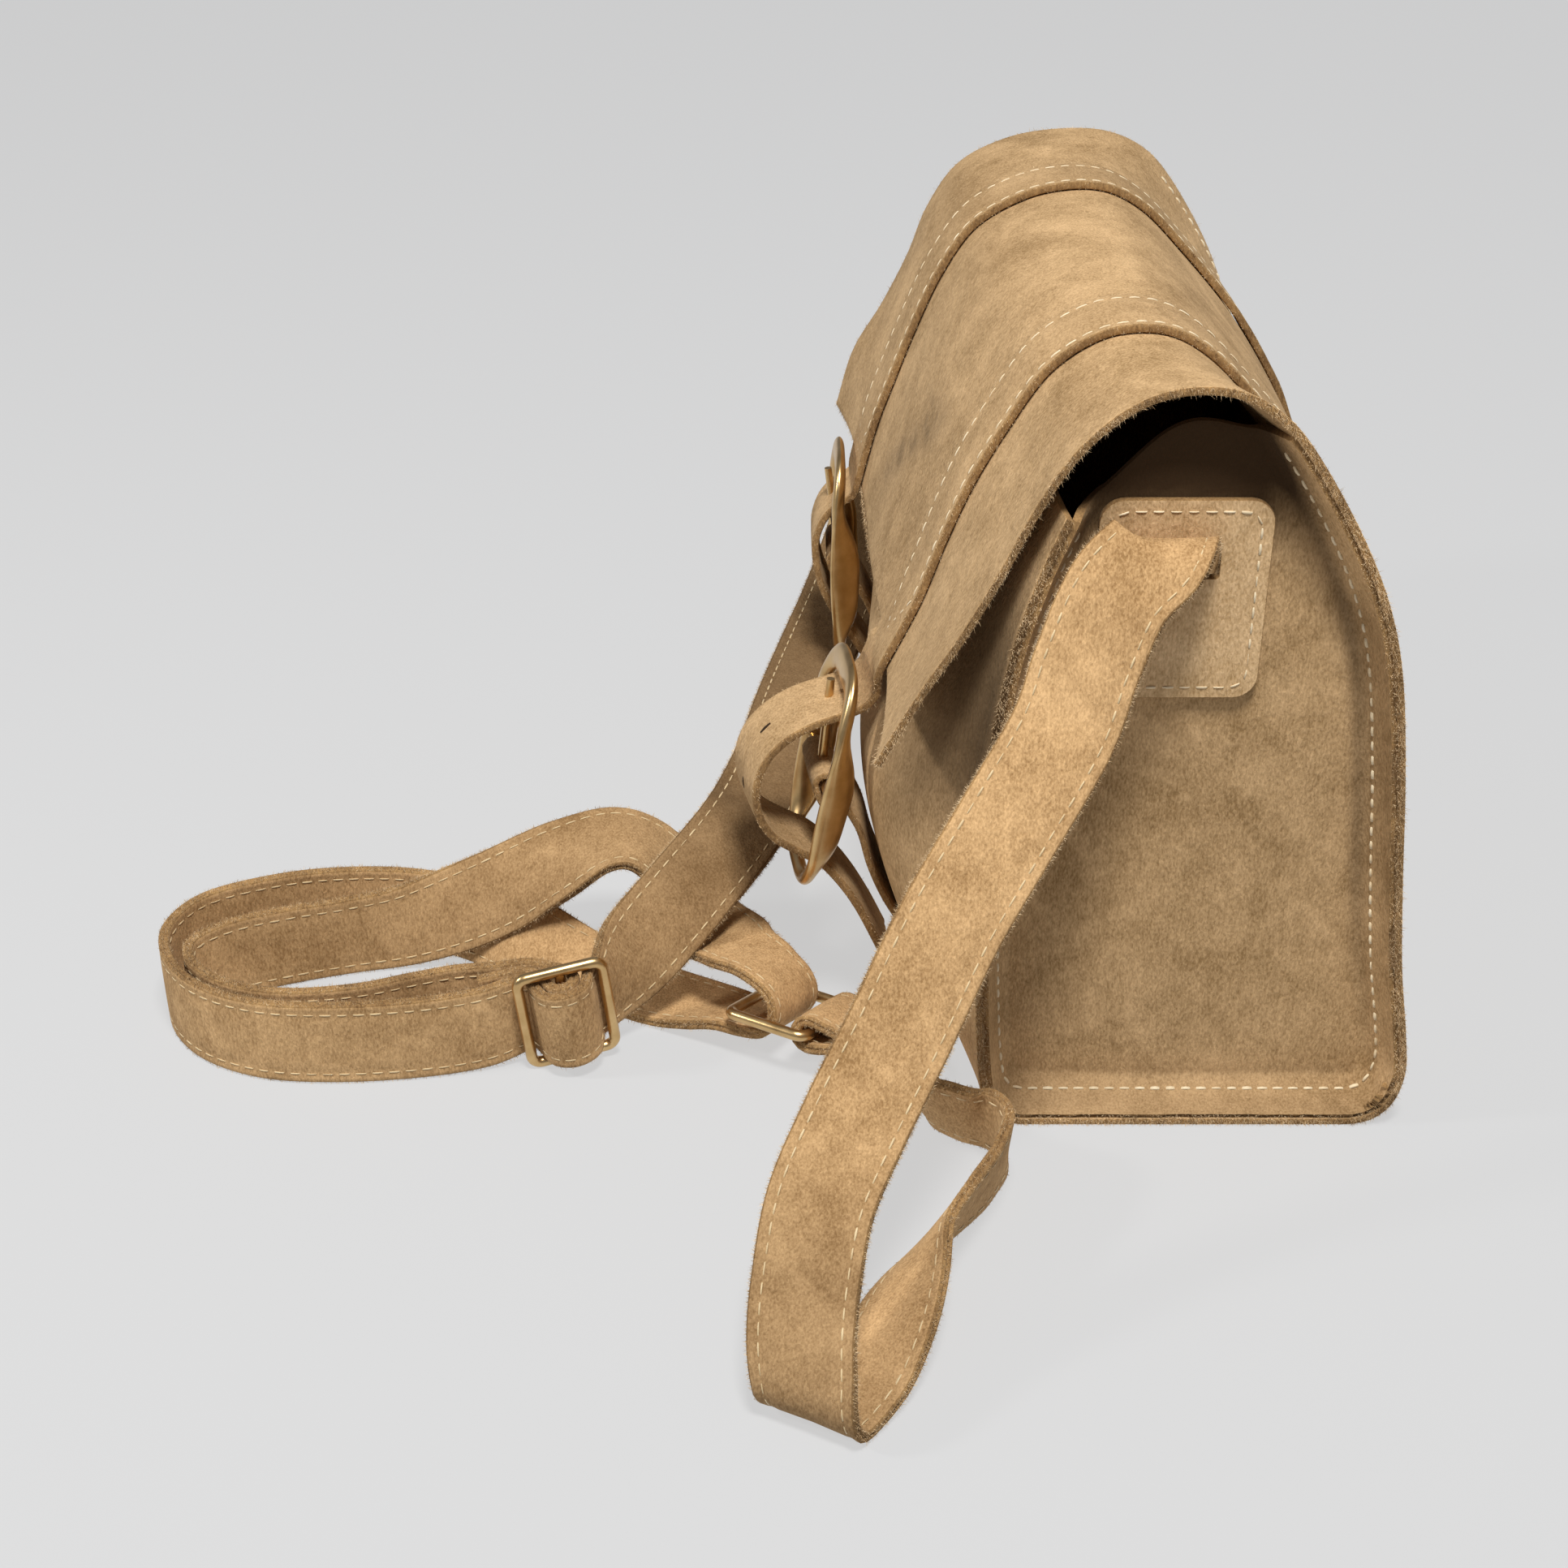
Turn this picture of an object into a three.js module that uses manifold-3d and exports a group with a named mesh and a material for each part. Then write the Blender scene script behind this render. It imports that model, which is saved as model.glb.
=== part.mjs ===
import * as THREE from 'three';
import { mergeVertices } from 'three/addons/utils/BufferGeometryUtils.js';
import Module from 'manifold-3d';

const wasm = await Module();
wasm.setup();

// Sizes in millimetres. +X runs to the bag's right side, -Y is its front, +Z is up.
const HALF_WIDTH = 125;        // raw edge of a side seam from the middle of the bag
const SUEDE = 2.0;             // one layer of suede
const GAP = 0.3;               // clearance between sewn pieces
const STRAP_WIDTH = 26;        // shoulder strap
const STRAP_THICK = 3.2;       // two layers of suede sewn together
const CLOSURE_X = 63;          // middle of each closure strap
const CLOSURE_WIDTH = 24;
const CLOSURE_FREE_WIDTH = 23.2; // where it runs through the buckle
const CLOSURE_THICK = 2.4;
const GUSSET_INSET = 11;       // how far a side panel lies behind the seam edge
const SEAM_BEND = 6.5;          // width of the bend that turns its edge outward
const PATCH_WIDTH = 42;
const PATCH_HEIGHT = 53;
const PATCH_RADIUS = 6;
const PATCH_Y = -16;
const PATCH_Z = 153.5;
const SLIT_WIDTH = 28;
const SLIT_HEIGHT = 7;
const SLIT_Y = -21.2;
const SLIT_Z = 163;
const WIRE = 1.6;              // radius of the slider and ring wire
const WIRE_CORNER = 2.6;       // bend of that wire at the corners
const GUSSET_RISE = 10;        // how far the top edge of a side panel is rounded up
const SEAM_FLAT = 6;           // the swelling of the front panel stops this far from the seam edge
const FLOOR_GAP = 0.2;         // straps lie this far off the surface below

const SUEDE_TAN = { color: 0xa98254, roughness: 0.95, metalness: 0 };
const BRASS = { color: 0xb58a45, roughness: 0.3, metalness: 1 };

// The sheet of the body, from the top edge of the front panel, under the bottom, up the back and
// over to the lower edge of the flap. y and z lie on the right-hand edge; belly and drop are how far
// the middle and the left of the sheet stand off in y and z; lean brings the left part of the flap
// forward, flare turns out its two lower corners, and puff swells the right of the front panel.
const WRAP = [
  { y: -46, z: 179, belly: -5, lean: -3, flare: 0, drop: 0, puff: 0 },
  { y: -52, z: 163, belly: -7, lean: -5, flare: 0, drop: 0, puff: 0 },
  { y: -58, z: 140, belly: -9, lean: -8, flare: 0, drop: 0, puff: -1 },
  { y: -63, z: 102, belly: -15, lean: -5, flare: 0, drop: 0, puff: -8.5 },
  { y: -63.5, z: 78, belly: -16, lean: -3, flare: 0, drop: 0, puff: -12.5 },
  { y: -62, z: 46, belly: -13, lean: 0, flare: 0, drop: 0, puff: -9.5 },
  { y: -60, z: 18, belly: -5, lean: 0, flare: 0, drop: 0, puff: -4 },
  { y: -56.8, z: 5.5, belly: -1.5, lean: 0, flare: 0, drop: 0, puff: 0 },
  { y: -48, z: 0, belly: 0, lean: 0, flare: 0, drop: 0, puff: 0 },
  { y: -25, z: 0, belly: 0, lean: 0, flare: 0, drop: 0, puff: 0 },
  { y: 18, z: 0, belly: 0, lean: 0, flare: 0, drop: 0, puff: 0 },
  { y: 42, z: 0, belly: 0, lean: 0, flare: 0, drop: 0, puff: 0 },
  { y: 51.5, z: 5, belly: 0, lean: 0, flare: 0, drop: 0, puff: 0 },
  { y: 55, z: 16, belly: 0, lean: 0, flare: 0, drop: 0, puff: 0 },
  { y: 53.5, z: 30, belly: 1, lean: 0, flare: 0, drop: 0, puff: 0 },
  { y: 49.5, z: 52, belly: 3, lean: 0, flare: 0, drop: 0, puff: 0 },
  { y: 46, z: 80, belly: 4, lean: 0, flare: 0, drop: 0, puff: 0 },
  { y: 43, z: 107, belly: 4, lean: 0, flare: 0, drop: 0, puff: 0 },
  { y: 39, z: 134, belly: 3, lean: 0, flare: 0, drop: 0, puff: 0 },
  { y: 34, z: 153, belly: -1, lean: 0, flare: 0, drop: 0, puff: 0 },
  { y: 26, z: 171, belly: -5, lean: 0, flare: 0, drop: 0, puff: 0 },
  { y: 14, z: 191, belly: -10, lean: 0, flare: 0, drop: -1, puff: 0 },
  { y: 4, z: 203.5, belly: -11, lean: 0, flare: 0, drop: -3, puff: 0 },
  { y: -8, z: 210.5, belly: -9, lean: -1, flare: 0, drop: -4.5, puff: 0 },
  { y: -22, z: 211, belly: -5, lean: -3, flare: 0, drop: -4.5, puff: 0 },
  { y: -34, z: 206, belly: -1.5, lean: -7, flare: 0, drop: -2.5, puff: 0 },
  { y: -45, z: 195.5, belly: 0, lean: -11, flare: 0, drop: 0, puff: 0 },
  { y: -53.5, z: 181.5, belly: 0, lean: -12, flare: 0, drop: 0, puff: 0 },
  { y: -61, z: 165.5, belly: -1, lean: -10.5, flare: 0, drop: 0, puff: 0 },
  { y: -68.5, z: 149, belly: 0, lean: -10, flare: -1, drop: 0, puff: 0 },
  { y: -74.5, z: 132.5, belly: 0, lean: -9.5, flare: -5, drop: 0, puff: 0 },
  { y: -84, z: 113, belly: 0, lean: -4.5, flare: -6, drop: 0, puff: 0 },
];
const WRAP_STEPS = 2;          // facets between two rows
const BAND_FIRST_ROW = 18;     // where the sewn bands start on the back panel
const BAND_LAST_ROW = 31;      // the lower edge of the flap, where they come free
const FRONT_CORNER_ROW = 7.4;  // middle of the rounded lower corners
const BACK_CORNER_ROW = 12;
const GUSSET_FRONT_ROW = 0;
const GUSSET_BACK_ROW = 21.7;

// Free ends of the closure straps, seen from the side: behind the frame's top, out in a curl, back
// behind the frame's foot and down in a tail. turn is how far the strap twists its far edge out, in degrees.
const RIGHT_CURL = [
  { y: -87.6, z: 108, turn: 6 },
  { y: -89.6, z: 103.4, turn: 8 },
  { y: -93.5, z: 100.2, turn: 10 },
  { y: -99.5, z: 98.4, turn: 12 },
  { y: -107, z: 96.4, turn: 13 },
  { y: -114.3, z: 92.5, turn: 13 },
  { y: -119.8, z: 86.5, turn: 13 },
  { y: -122.3, z: 78.5, turn: 13 },
  { y: -121.3, z: 69.5, turn: 13 },
  { y: -117.2, z: 62.5, turn: 12 },
  { y: -110.5, z: 57.2, turn: 11 },
  { y: -104, z: 52.8, turn: 10 },
  { y: -98.5, z: 46.6, turn: 8 },
  { y: -93, z: 38.5, turn: 6 },
  { y: -88, z: 29, turn: 4 },
  { y: -83, z: 18, turn: 3 },
];
const LEFT_CURL = [
  { y: -90.5, z: 110, turn: 0 },
  { y: -95, z: 107, turn: 0 },
  { y: -99.5, z: 102, turn: 0 },
  { y: -102, z: 95, turn: 0 },
  { y: -102, z: 88, turn: 0 },
  { y: -100.5, z: 80, turn: 0 },
  { y: -97, z: 72, turn: 0 },
  { y: -93, z: 66, turn: 0 },
  { y: -89.5, z: 60, turn: 0 },
  { y: -84, z: 51, turn: 0 },
  { y: -80.5, z: 43, turn: 0 },
  { y: -78, z: 34, turn: 0 },
];
// The chapes that reach from the front panel to the middle bars of the buckles.
const CHAPE_REACH = {
  right: [
    { y: -76.8, z: 29 }, { y: -83.5, z: 40.5 }, { y: -88, z: 51.5 }, { y: -91, z: 62.5 }, { y: -95.2, z: 71 },
  ],
  left: [{ y: -84.5, z: 71 }, { y: -88.5, z: 79 }],
};
const CHAPE_TOP_ROW = { right: 5.9, left: 4.7 };
const CHAPE_FOOT_ROW = 6.2;
const CHAPE_LIFT = 0.6;        // clearance below the sewn end of a chape
const FRAME_Y = -101.7;        // middle bar of the right buckle
const FRAME_Z = 77;
const FRAME_LEAN = 12.5;       // degrees that its foot stands out
const FRAME_TURN = 7;          // degrees that its far side stands out
const LEFT_Y = -94.5;          // the left buckle sits higher and upright
const LEFT_Z = 87.5;

// Section of the buckle frame, by angle around the oval from its right-hand side.
// wide and thick are half sizes; twist turns the flat of the section toward the bag, in degrees.
const FRAME_SECTION = [
  { angle: 0, wide: 5.2, thick: 1.8, twist: 64 },
  { angle: 30, wide: 2.7, thick: 1.9, twist: 18 },
  { angle: 90, wide: 4.4, thick: 1.7, twist: 0 },
  { angle: 150, wide: 2.7, thick: 1.9, twist: 18 },
  { angle: 180, wide: 5.2, thick: 1.8, twist: 64 },
  { angle: 200, wide: 4.4, thick: 1.8, twist: 58 },
  { angle: 228, wide: 2.6, thick: 1.9, twist: 30 },
  { angle: 270, wide: 2.3, thick: 1.9, twist: 6 },
  { angle: 312, wide: 2.6, thick: 1.9, twist: 30 },
  { angle: 340, wide: 4.4, thick: 1.8, twist: 58 },
];
const FRAME_HALF_WIDTH = 18;
const FRAME_HALF_HEIGHT = 31;
const FRAME_SQUARE = 3.6;      // 2 would be an ellipse
const FRAME_BOW = 3;           // how far its middle stands forward
const BAR_RADIUS = 1.6;
const PRONG_RADIUS = 1.5;
const PRONG_REACH = 27.5;      // from the middle bar to its tip, up the frame
const PRONG_STAND = 3.7;       // how far its tip stands in front of the frame's middle face

// Slide loop: its middle, the way the strap runs through it and the way across the strap.
const SLIDER_MIDDLE = new THREE.Vector3(97.8, -172.8, 18);
const SLIDER_RUN = new THREE.Vector3(-0.25, 0.95, 0.115).normalize();
const SLIDER_UP = new THREE.Vector3(0.15, -0.25, 0.955);
const SLIDER_HALF_RUN = 12;
const SLIDER_HALF_TALL = 15.4;
// Ring: the corner nearest the right side, its long bars and its short bars.
const RING_CORNER = new THREE.Vector3(94, -128, 15.2);
const RING_LONG = new THREE.Vector3(-0.84, 0.47, -0.27).normalize();
const RING_SHORT = new THREE.Vector3(0.489, 0.872, 0).normalize();
const RING_LENGTH = 31;
const RING_DEPTH = 24;

// Shoulder strap from the right side patch to the floor loop and on to the ring.
// x, y, z is the middle of the strap, ex, ey, ez the way across it.
const SHORT_STRAP = [
  { x: 115.6, y: -21.2, z: 161.9, ex: 0, ey: 1, ez: 0 },
  { x: 118.6, y: -21.3, z: 166.6, ex: 0, ey: 1, ez: 0 },
  { x: 122.6, y: -22.2, z: 171.3, ex: 0, ey: 1, ez: 0 },
  { x: 127.4, y: -25, z: 170.8, ex: 0.05, ey: 1, ez: 0 },
  { x: 131, y: -33.5, z: 162.5, ex: 0.35, ey: 0.92, ez: -0.15 },
  { x: 134.5, y: -40, z: 146, ex: 0.38, ey: 0.86, ez: -0.35 },
  { x: 139, y: -45.5, z: 129.5, ex: 0.34, ey: 0.86, ez: -0.38 },
  { x: 150, y: -59, z: 109, ex: 0.25, ey: 0.9, ez: -0.35 },
  { x: 163, y: -72.5, z: 90.4, ex: 0.15, ey: 0.93, ez: -0.3 },
  { x: 178, y: -84.8, z: 69.8, ex: 0.1, ey: 0.95, ez: -0.2 },
  { x: 192, y: -95.2, z: 54.5, ex: 0.12, ey: 0.97, ez: -0.08 },
  { x: 206, y: -103.5, z: 41.7, ex: 0.2, ey: 0.98, ez: 0 },
  { x: 219, y: -107, z: 29.4, ex: 0.28, ey: 0.95, ez: 0.03 },
  { x: 229, y: -108.2, z: 21.2, ex: 0.33, ey: 0.93, ez: 0.06 },
  { x: 235.4, y: -107.8, z: 14.6, ex: 0.4, ey: 0.91, ez: 0.1 },
  { x: 238, y: -107.2, z: 9.3, ex: 0.45, ey: 0.88, ez: 0.1 },
  { x: 236.9, y: -105.4, z: 4.5, ex: 0.52, ey: 0.85, ez: 0.06 },
  { x: 232.8, y: -102, z: 2.3, ex: 0.6, ey: 0.8, ez: 0 },
  { x: 222.5, y: -93.8, z: 3.4, ex: 0.58, ey: 0.8, ez: 0.12 },
  { x: 212, y: -87, z: 6.2, ex: 0.45, ey: 0.76, ez: 0.42 },
  { x: 199.5, y: -82.2, z: 9.2, ex: 0.25, ey: 0.72, ez: 0.64 },
  { x: 187, y: -77, z: 11.3, ex: 0.27, ey: 0.45, ez: 0.85 },
  { x: 175, y: -68, z: 12.2, ex: 0.38, ey: 0.12, ez: 0.91 },
  { x: 162, y: -59.5, z: 12.2, ex: 0.41, ey: 0, ez: 0.91 },
  { x: 149.5, y: -55, z: 12.2, ex: 0.41, ey: 0, ez: 0.91 },
  { x: 140.5, y: -57.5, z: 12.2, ex: 0.41, ey: 0, ez: 0.91 },
  { x: 136, y: -66, z: 12.2, ex: 0.41, ey: 0, ez: 0.9 },
  { x: 130, y: -74.5, z: 12.4, ex: 0.5, ey: -0.1, ez: 0.85 },
  { x: 119.5, y: -80.5, z: 12.6, ex: 0.7, ey: -0.3, ez: 0.65 },
  { x: 108.5, y: -84.5, z: 12.4, ex: 0.82, ey: -0.42, ez: 0.4 },
];
// Its end, folded around the ring's far long bar: run along the ring's short bars, and rise.
const SHORT_STRAP_END = [
  { run: 9, rise: 2.3 },
  { run: 3.6, rise: 3.5 },
  { run: 0, rise: 4 },
  { run: -2.9, rise: 2.8 },
  { run: -4, rise: 0 },
  { run: -2.9, rise: -2.8 },
  { run: 0, rise: -4 },
  { run: 3.6, rise: -3.5 },
  { run: 9, rise: -2 },
  { run: 16, rise: -2 },
];

// Shoulder strap from the left side patch down to the slider.
const LONG_STRAP_FALL = [
  { x: -115.6, y: -21.2, z: 161.9, ex: 0, ey: 1, ez: 0 },
  { x: -118.6, y: -21.2, z: 166.2, ex: 0, ey: 1, ez: 0 },
  { x: -122.6, y: -21.5, z: 168.7, ex: 0, ey: 1, ez: 0 },
  { x: -126.6, y: -23, z: 166.2, ex: 0, ey: 1, ez: 0 },
  { x: -130.5, y: -28, z: 155, ex: 0, ey: 0.98, ez: -0.15 },
  { x: -139, y: -40, z: 131, ex: 0, ey: 0.9, ez: -0.4 },
  { x: -147, y: -57, z: 101, ex: 0, ey: 0.9, ez: -0.4 },
  { x: -148, y: -72, z: 79, ex: 0.08, ey: 0.92, ez: -0.3 },
  { x: -140, y: -81, z: 66, ex: 0.12, ey: 0.94, ez: -0.2 },
  { x: -122, y: -87.3, z: 56.5, ex: 0.15, ey: 0.95, ez: -0.2 },
  { x: -97, y: -93.5, z: 51.5, ex: 0.15, ey: 0.95, ez: -0.2 },
  { x: -66, y: -100.8, z: 49, ex: 0.15, ey: 0.95, ez: -0.2 },
  { x: -30, y: -108, z: 48.5, ex: 0.18, ey: 0.95, ez: -0.2 },
  { x: 9, y: -115.4, z: 46.5, ex: 0.2, ey: 0.94, ez: -0.25 },
  { x: 38, y: -124.5, z: 43.5, ex: 0.25, ey: 0.9, ez: -0.3 },
  { x: 62, y: -140, z: 35, ex: 0.4, ey: 0.75, ez: -0.5 },
  { x: 78, y: -153.5, z: 26, ex: 0.35, ey: 0.4, ez: -0.8 },
];
// Through the slider: run along it and rise off it, toward the front of the slider.
const SLIDER_PASS = [
  { run: 12, rise: -4.6 },
  { run: 8.8, rise: -3.2 },
  { run: 7.6, rise: 0 },
  { run: 5.4, rise: 5.4 },
  { run: 0, rise: 7.6 },
  { run: -5.4, rise: 5.4 },
  { run: -7.6, rise: 0 },
  { run: -8.8, rise: -3.2 },
  { run: -12, rise: -4.6 },
];
// Outer turn of the coil on the floor, then flat under the falling strap to the ring, once around
// the ring's near bar, up over a hump and back through the inner turn of the coil.
const LONG_STRAP_COIL = [
  { x: 99.6, y: -197, z: 14, ex: 0, ey: 0, ez: -1 },
  { x: 103.5, y: -215, z: 13.4, ex: 0, ey: 0, ez: -1 },
  { x: 105.5, y: -238, z: 13.4, ex: 0, ey: 0, ez: -1 },
  { x: 103.5, y: -258.5, z: 13.4, ex: 0, ey: 0, ez: -1 },
  { x: 95, y: -276, z: 13.4, ex: 0, ey: 0, ez: -1 },
  { x: 81, y: -287.2, z: 13.4, ex: 0, ey: 0, ez: -1 },
  { x: 65, y: -290.5, z: 13.4, ex: 0, ey: 0, ez: -1 },
  { x: 50, y: -283.5, z: 13.4, ex: 0, ey: 0, ez: -1 },
  { x: 40.5, y: -266.5, z: 13.4, ex: 0, ey: 0, ez: -1 },
  { x: 36, y: -248, z: 13.4, ex: 0, ey: 0, ez: -1 },
  { x: 36.5, y: -226, z: 13.4, ex: 0.05, ey: 0, ez: -1 },
  { x: 43, y: -206, z: 12.6, ex: 0.25, ey: 0, ez: -0.97 },
  { x: 51, y: -190, z: 10.4, ex: 0.6, ey: 0, ez: -0.8 },
  { x: 57.5, y: -174, z: 6, ex: 0.9, ey: -0.1, ez: -0.4 },
  { x: 63, y: -158, z: 2.8, ex: 0.95, ey: -0.25, ez: -0.08 },
  { x: 69, y: -145, z: 2.2, ex: 0.92, ey: -0.38, ez: 0 },
  { x: 75, y: -134, z: 3.6, ex: 0.88, ey: -0.45, ez: 0.12 },
  { x: 80, y: -126, z: 5.3, ex: 0.84, ey: -0.47, ez: 0.24 },
  { x: 84, y: -119, z: 5.7, ex: 0.84, ey: -0.47, ez: 0.27 },
  { x: 87, y: -112.7, z: 7.4, ex: 0.84, ey: -0.47, ez: 0.27 },
  { x: 87.3, y: -109.6, z: 13.2, ex: 0.84, ey: -0.47, ez: 0.27 },
  { x: 84.5, y: -111.5, z: 19, ex: 0.84, ey: -0.47, ez: 0.27 },
  { x: 79, y: -118, z: 22.3, ex: 0.84, ey: -0.47, ez: 0.22 },
  { x: 70, y: -126, z: 21.5, ex: 0.86, ey: -0.46, ez: 0.1 },
  { x: 60, y: -131, z: 20, ex: 0.88, ey: -0.45, ez: -0.05 },
  { x: 52, y: -136, z: 22, ex: 0.9, ey: -0.4, ez: 0 },
  { x: 45.5, y: -142.8, z: 29.5, ex: 0.92, ey: -0.35, ez: 0 },
  { x: 42, y: -153, z: 38.5, ex: 0.94, ey: -0.28, ez: 0 },
  { x: 41, y: -164.5, z: 39.8, ex: 0.93, ey: -0.15, ez: -0.25 },
  { x: 42.5, y: -180, z: 33, ex: 0.8, ey: 0, ez: -0.6 },
  { x: 44.5, y: -199, z: 22.8, ex: 0.5, ey: 0, ez: -0.87 },
  { x: 47.5, y: -222, z: 14.8, ex: 0.15, ey: 0, ez: -0.98 },
  { x: 52, y: -241, z: 13.4, ex: 0, ey: 0, ez: -1 },
  { x: 57, y: -257, z: 13.4, ex: 0, ey: 0, ez: -1 },
  { x: 64, y: -273, z: 13.4, ex: 0, ey: 0, ez: -1 },
  { x: 74, y: -282, z: 13.4, ex: 0, ey: 0, ez: -1 },
  { x: 85.5, y: -278.5, z: 13.4, ex: 0, ey: 0, ez: -1 },
  { x: 95, y: -266.5, z: 13.4, ex: 0, ey: 0, ez: -1 },
  { x: 98.8, y: -250, z: 13.4, ex: 0, ey: 0, ez: -1 },
  { x: 96.5, y: -231, z: 13.4, ex: 0, ey: 0, ez: -1 },
  { x: 91.5, y: -217, z: 13.4, ex: 0, ey: 0, ez: -1 },
  { x: 88, y: -206, z: 13.4, ex: 0, ey: 0, ez: -1 },
];
// Its end, folded around the slider's middle bar, with the turned-back tail.
const LONG_STRAP_END = [
  { run: -15, rise: -12.2 },
  { run: -7, rise: -10.6 },
  { run: -1.5, rise: -6.6 },
  { run: 2.7, rise: -2.9 },
  { run: 3.8, rise: 0.8 },
  { run: 1.7, rise: 3.5 },
  { run: -1.9, rise: 3.4 },
  { run: -4, rise: 0.2 },
  { run: -5, rise: -3.7 },
  { run: -8, rise: -6.9 },
  { run: -13, rise: -8.3 },
  { run: -22, rise: -8.5 },
];

// One column of a table read as a smooth curve at a row number that need not be whole.
function smooth(rows, column, at) {
  const last = rows.length - 1;
  const i = Math.min(Math.floor(at), last - 1);
  const f = at - i;
  const p1 = rows[i][column];
  const p2 = rows[i + 1][column];
  const p0 = i > 0 ? rows[i - 1][column] : 2 * p1 - p2;
  const p3 = i + 2 <= last ? rows[i + 2][column] : 2 * p2 - p1;
  const bend = 2 * p0 - 5 * p1 + 4 * p2 - p3;
  const twist = 3 * p1 - p0 - 3 * p2 + p3;
  return 0.5 * (2 * p1 + f * (p2 - p0 + f * (bend + f * twist)));
}

// Outer face of the body sheet at a row of WRAP and a place along the bag.
function wrapPoint(row, x) {
  const middle = 1 - (x / HALF_WIDTH) ** 4;
  const full = 1 - Math.min(1, Math.abs(x) / (HALF_WIDTH - SEAM_FLAT)) ** 8;
  const left = 1 / (1 + Math.exp((x - 15) / 22));
  const corner = Math.max(0, (Math.abs(x) - 70) / 55) ** 2;
  const y = smooth(WRAP, 'y', row) + middle * smooth(WRAP, 'belly', row)
    + left * smooth(WRAP, 'lean', row) + corner * smooth(WRAP, 'flare', row)
    + (1 - left) * full * smooth(WRAP, 'puff', row);
  const z = Math.max(0, smooth(WRAP, 'z', row) + Math.max(middle, left) * smooth(WRAP, 'drop', row));
  return new THREE.Vector3(x, y, z);
}

// Direction that points out of the bag there.
function wrapOut(row, x) {
  const step = 0.05;
  const last = WRAP.length - 1;
  const along = wrapPoint(Math.min(row + step, last), x).sub(wrapPoint(Math.max(row - step, 0), x));
  const across = wrapPoint(row, x + step).sub(wrapPoint(row, x - step));
  return along.cross(across).normalize();
}

function solidFrom(positions, faces) {
  const geometry = new THREE.BufferGeometry();
  const numbers = positions.flatMap((p) => p.toArray());
  geometry.setAttribute('position', new THREE.Float32BufferAttribute(numbers, 3));
  geometry.setIndex(faces.flat());
  return geometry;
}

// A wall between two grids of points that have the same rows and columns.
function wall(outer, inner) {
  const rows = outer.length;
  const columns = outer[0].length;
  const positions = [...outer.flat(), ...inner.flat()];
  const shift = rows * columns;
  const at = (i, j) => i * columns + j;
  const faces = [];
  const quad = (a, b, c, d) => faces.push([a, b, c], [a, c, d]);
  for (let i = 0; i < rows - 1; i++) {
    for (let j = 0; j < columns - 1; j++) {
      quad(at(i, j), at(i + 1, j), at(i + 1, j + 1), at(i, j + 1));
      quad(shift + at(i, j), shift + at(i, j + 1), shift + at(i + 1, j + 1), shift + at(i + 1, j));
    }
  }
  for (let i = 0; i < rows - 1; i++) {
    const j = columns - 1;
    quad(at(i, 0), shift + at(i, 0), shift + at(i + 1, 0), at(i + 1, 0));
    quad(at(i, j), at(i + 1, j), shift + at(i + 1, j), shift + at(i, j));
  }
  for (let j = 0; j < columns - 1; j++) {
    const i = rows - 1;
    quad(at(0, j), at(0, j + 1), shift + at(0, j + 1), shift + at(0, j));
    quad(at(i, j), shift + at(i, j), shift + at(i, j + 1), at(i, j + 1));
  }
  return outward(solidFrom(positions, faces));
}

// Turns the faces of a closed body outward if they point in.
function outward(geometry) {
  const p = geometry.attributes.position;
  const index = geometry.index.array;
  const corner = [new THREE.Vector3(), new THREE.Vector3(), new THREE.Vector3()];
  let volume = 0;
  for (let i = 0; i < index.length; i += 3) {
    corner.forEach((c, k) => c.fromBufferAttribute(p, index[i + k]));
    volume += corner[0].dot(corner[1].clone().cross(corner[2]));
  }
  if (volume < 0) {
    for (let i = 0; i < index.length; i += 3) {
      [index[i], index[i + 1]] = [index[i + 1], index[i]];
    }
  }
  return geometry;
}

function toManifold(geometry) {
  const plain = new THREE.BufferGeometry();
  plain.setAttribute('position', geometry.attributes.position);
  plain.setIndex(geometry.index);
  const merged = mergeVertices(plain, 1e-4);
  return new wasm.Manifold(new wasm.Mesh({
    numProp: 3,
    vertProperties: Float32Array.from(merged.attributes.position.array),
    triVerts: Uint32Array.from(merged.index.array),
  }));
}

function fromManifold(body) {
  const mesh = body.getMesh();
  const geometry = new THREE.BufferGeometry();
  geometry.setAttribute('position', new THREE.BufferAttribute(Float32Array.from(mesh.vertProperties), 3));
  geometry.setIndex(new THREE.BufferAttribute(Uint32Array.from(mesh.triVerts), 1));
  return geometry;
}

// Both faces of a flat strip along stations, each with its middle and the way across the strip.
// cuts are the places across it where the faces have points, in parts of its width.
function stripFaces(stations, width, thick, cuts) {
  const outer = [];
  const inner = [];
  stations.forEach(({ middle, across }, i) => {
    const before = stations[Math.max(i - 1, 0)].middle;
    const after = stations[Math.min(i + 1, stations.length - 1)].middle;
    const along = after.clone().sub(before).normalize();
    const side = across.clone().addScaledVector(along, -across.dot(along)).normalize();
    const face = along.clone().cross(side);
    const hang = Math.abs(side.z) * width / 2 + Math.abs(face.z) * thick / 2;
    middle.z = Math.max(middle.z, hang + FLOOR_GAP);
    const row = (lift) => cuts.map((s) => middle.clone().addScaledVector(side, s * width)
      .addScaledVector(face, lift * thick / 2));
    outer.push(row(1));
    inner.push(row(-1));
  });
  return { outer, inner };
}

function strip(stations, width, thick) {
  const { outer, inner } = stripFaces(stations, width, thick, [-0.5, 0.5]);
  return wall(outer, inner);
}

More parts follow.
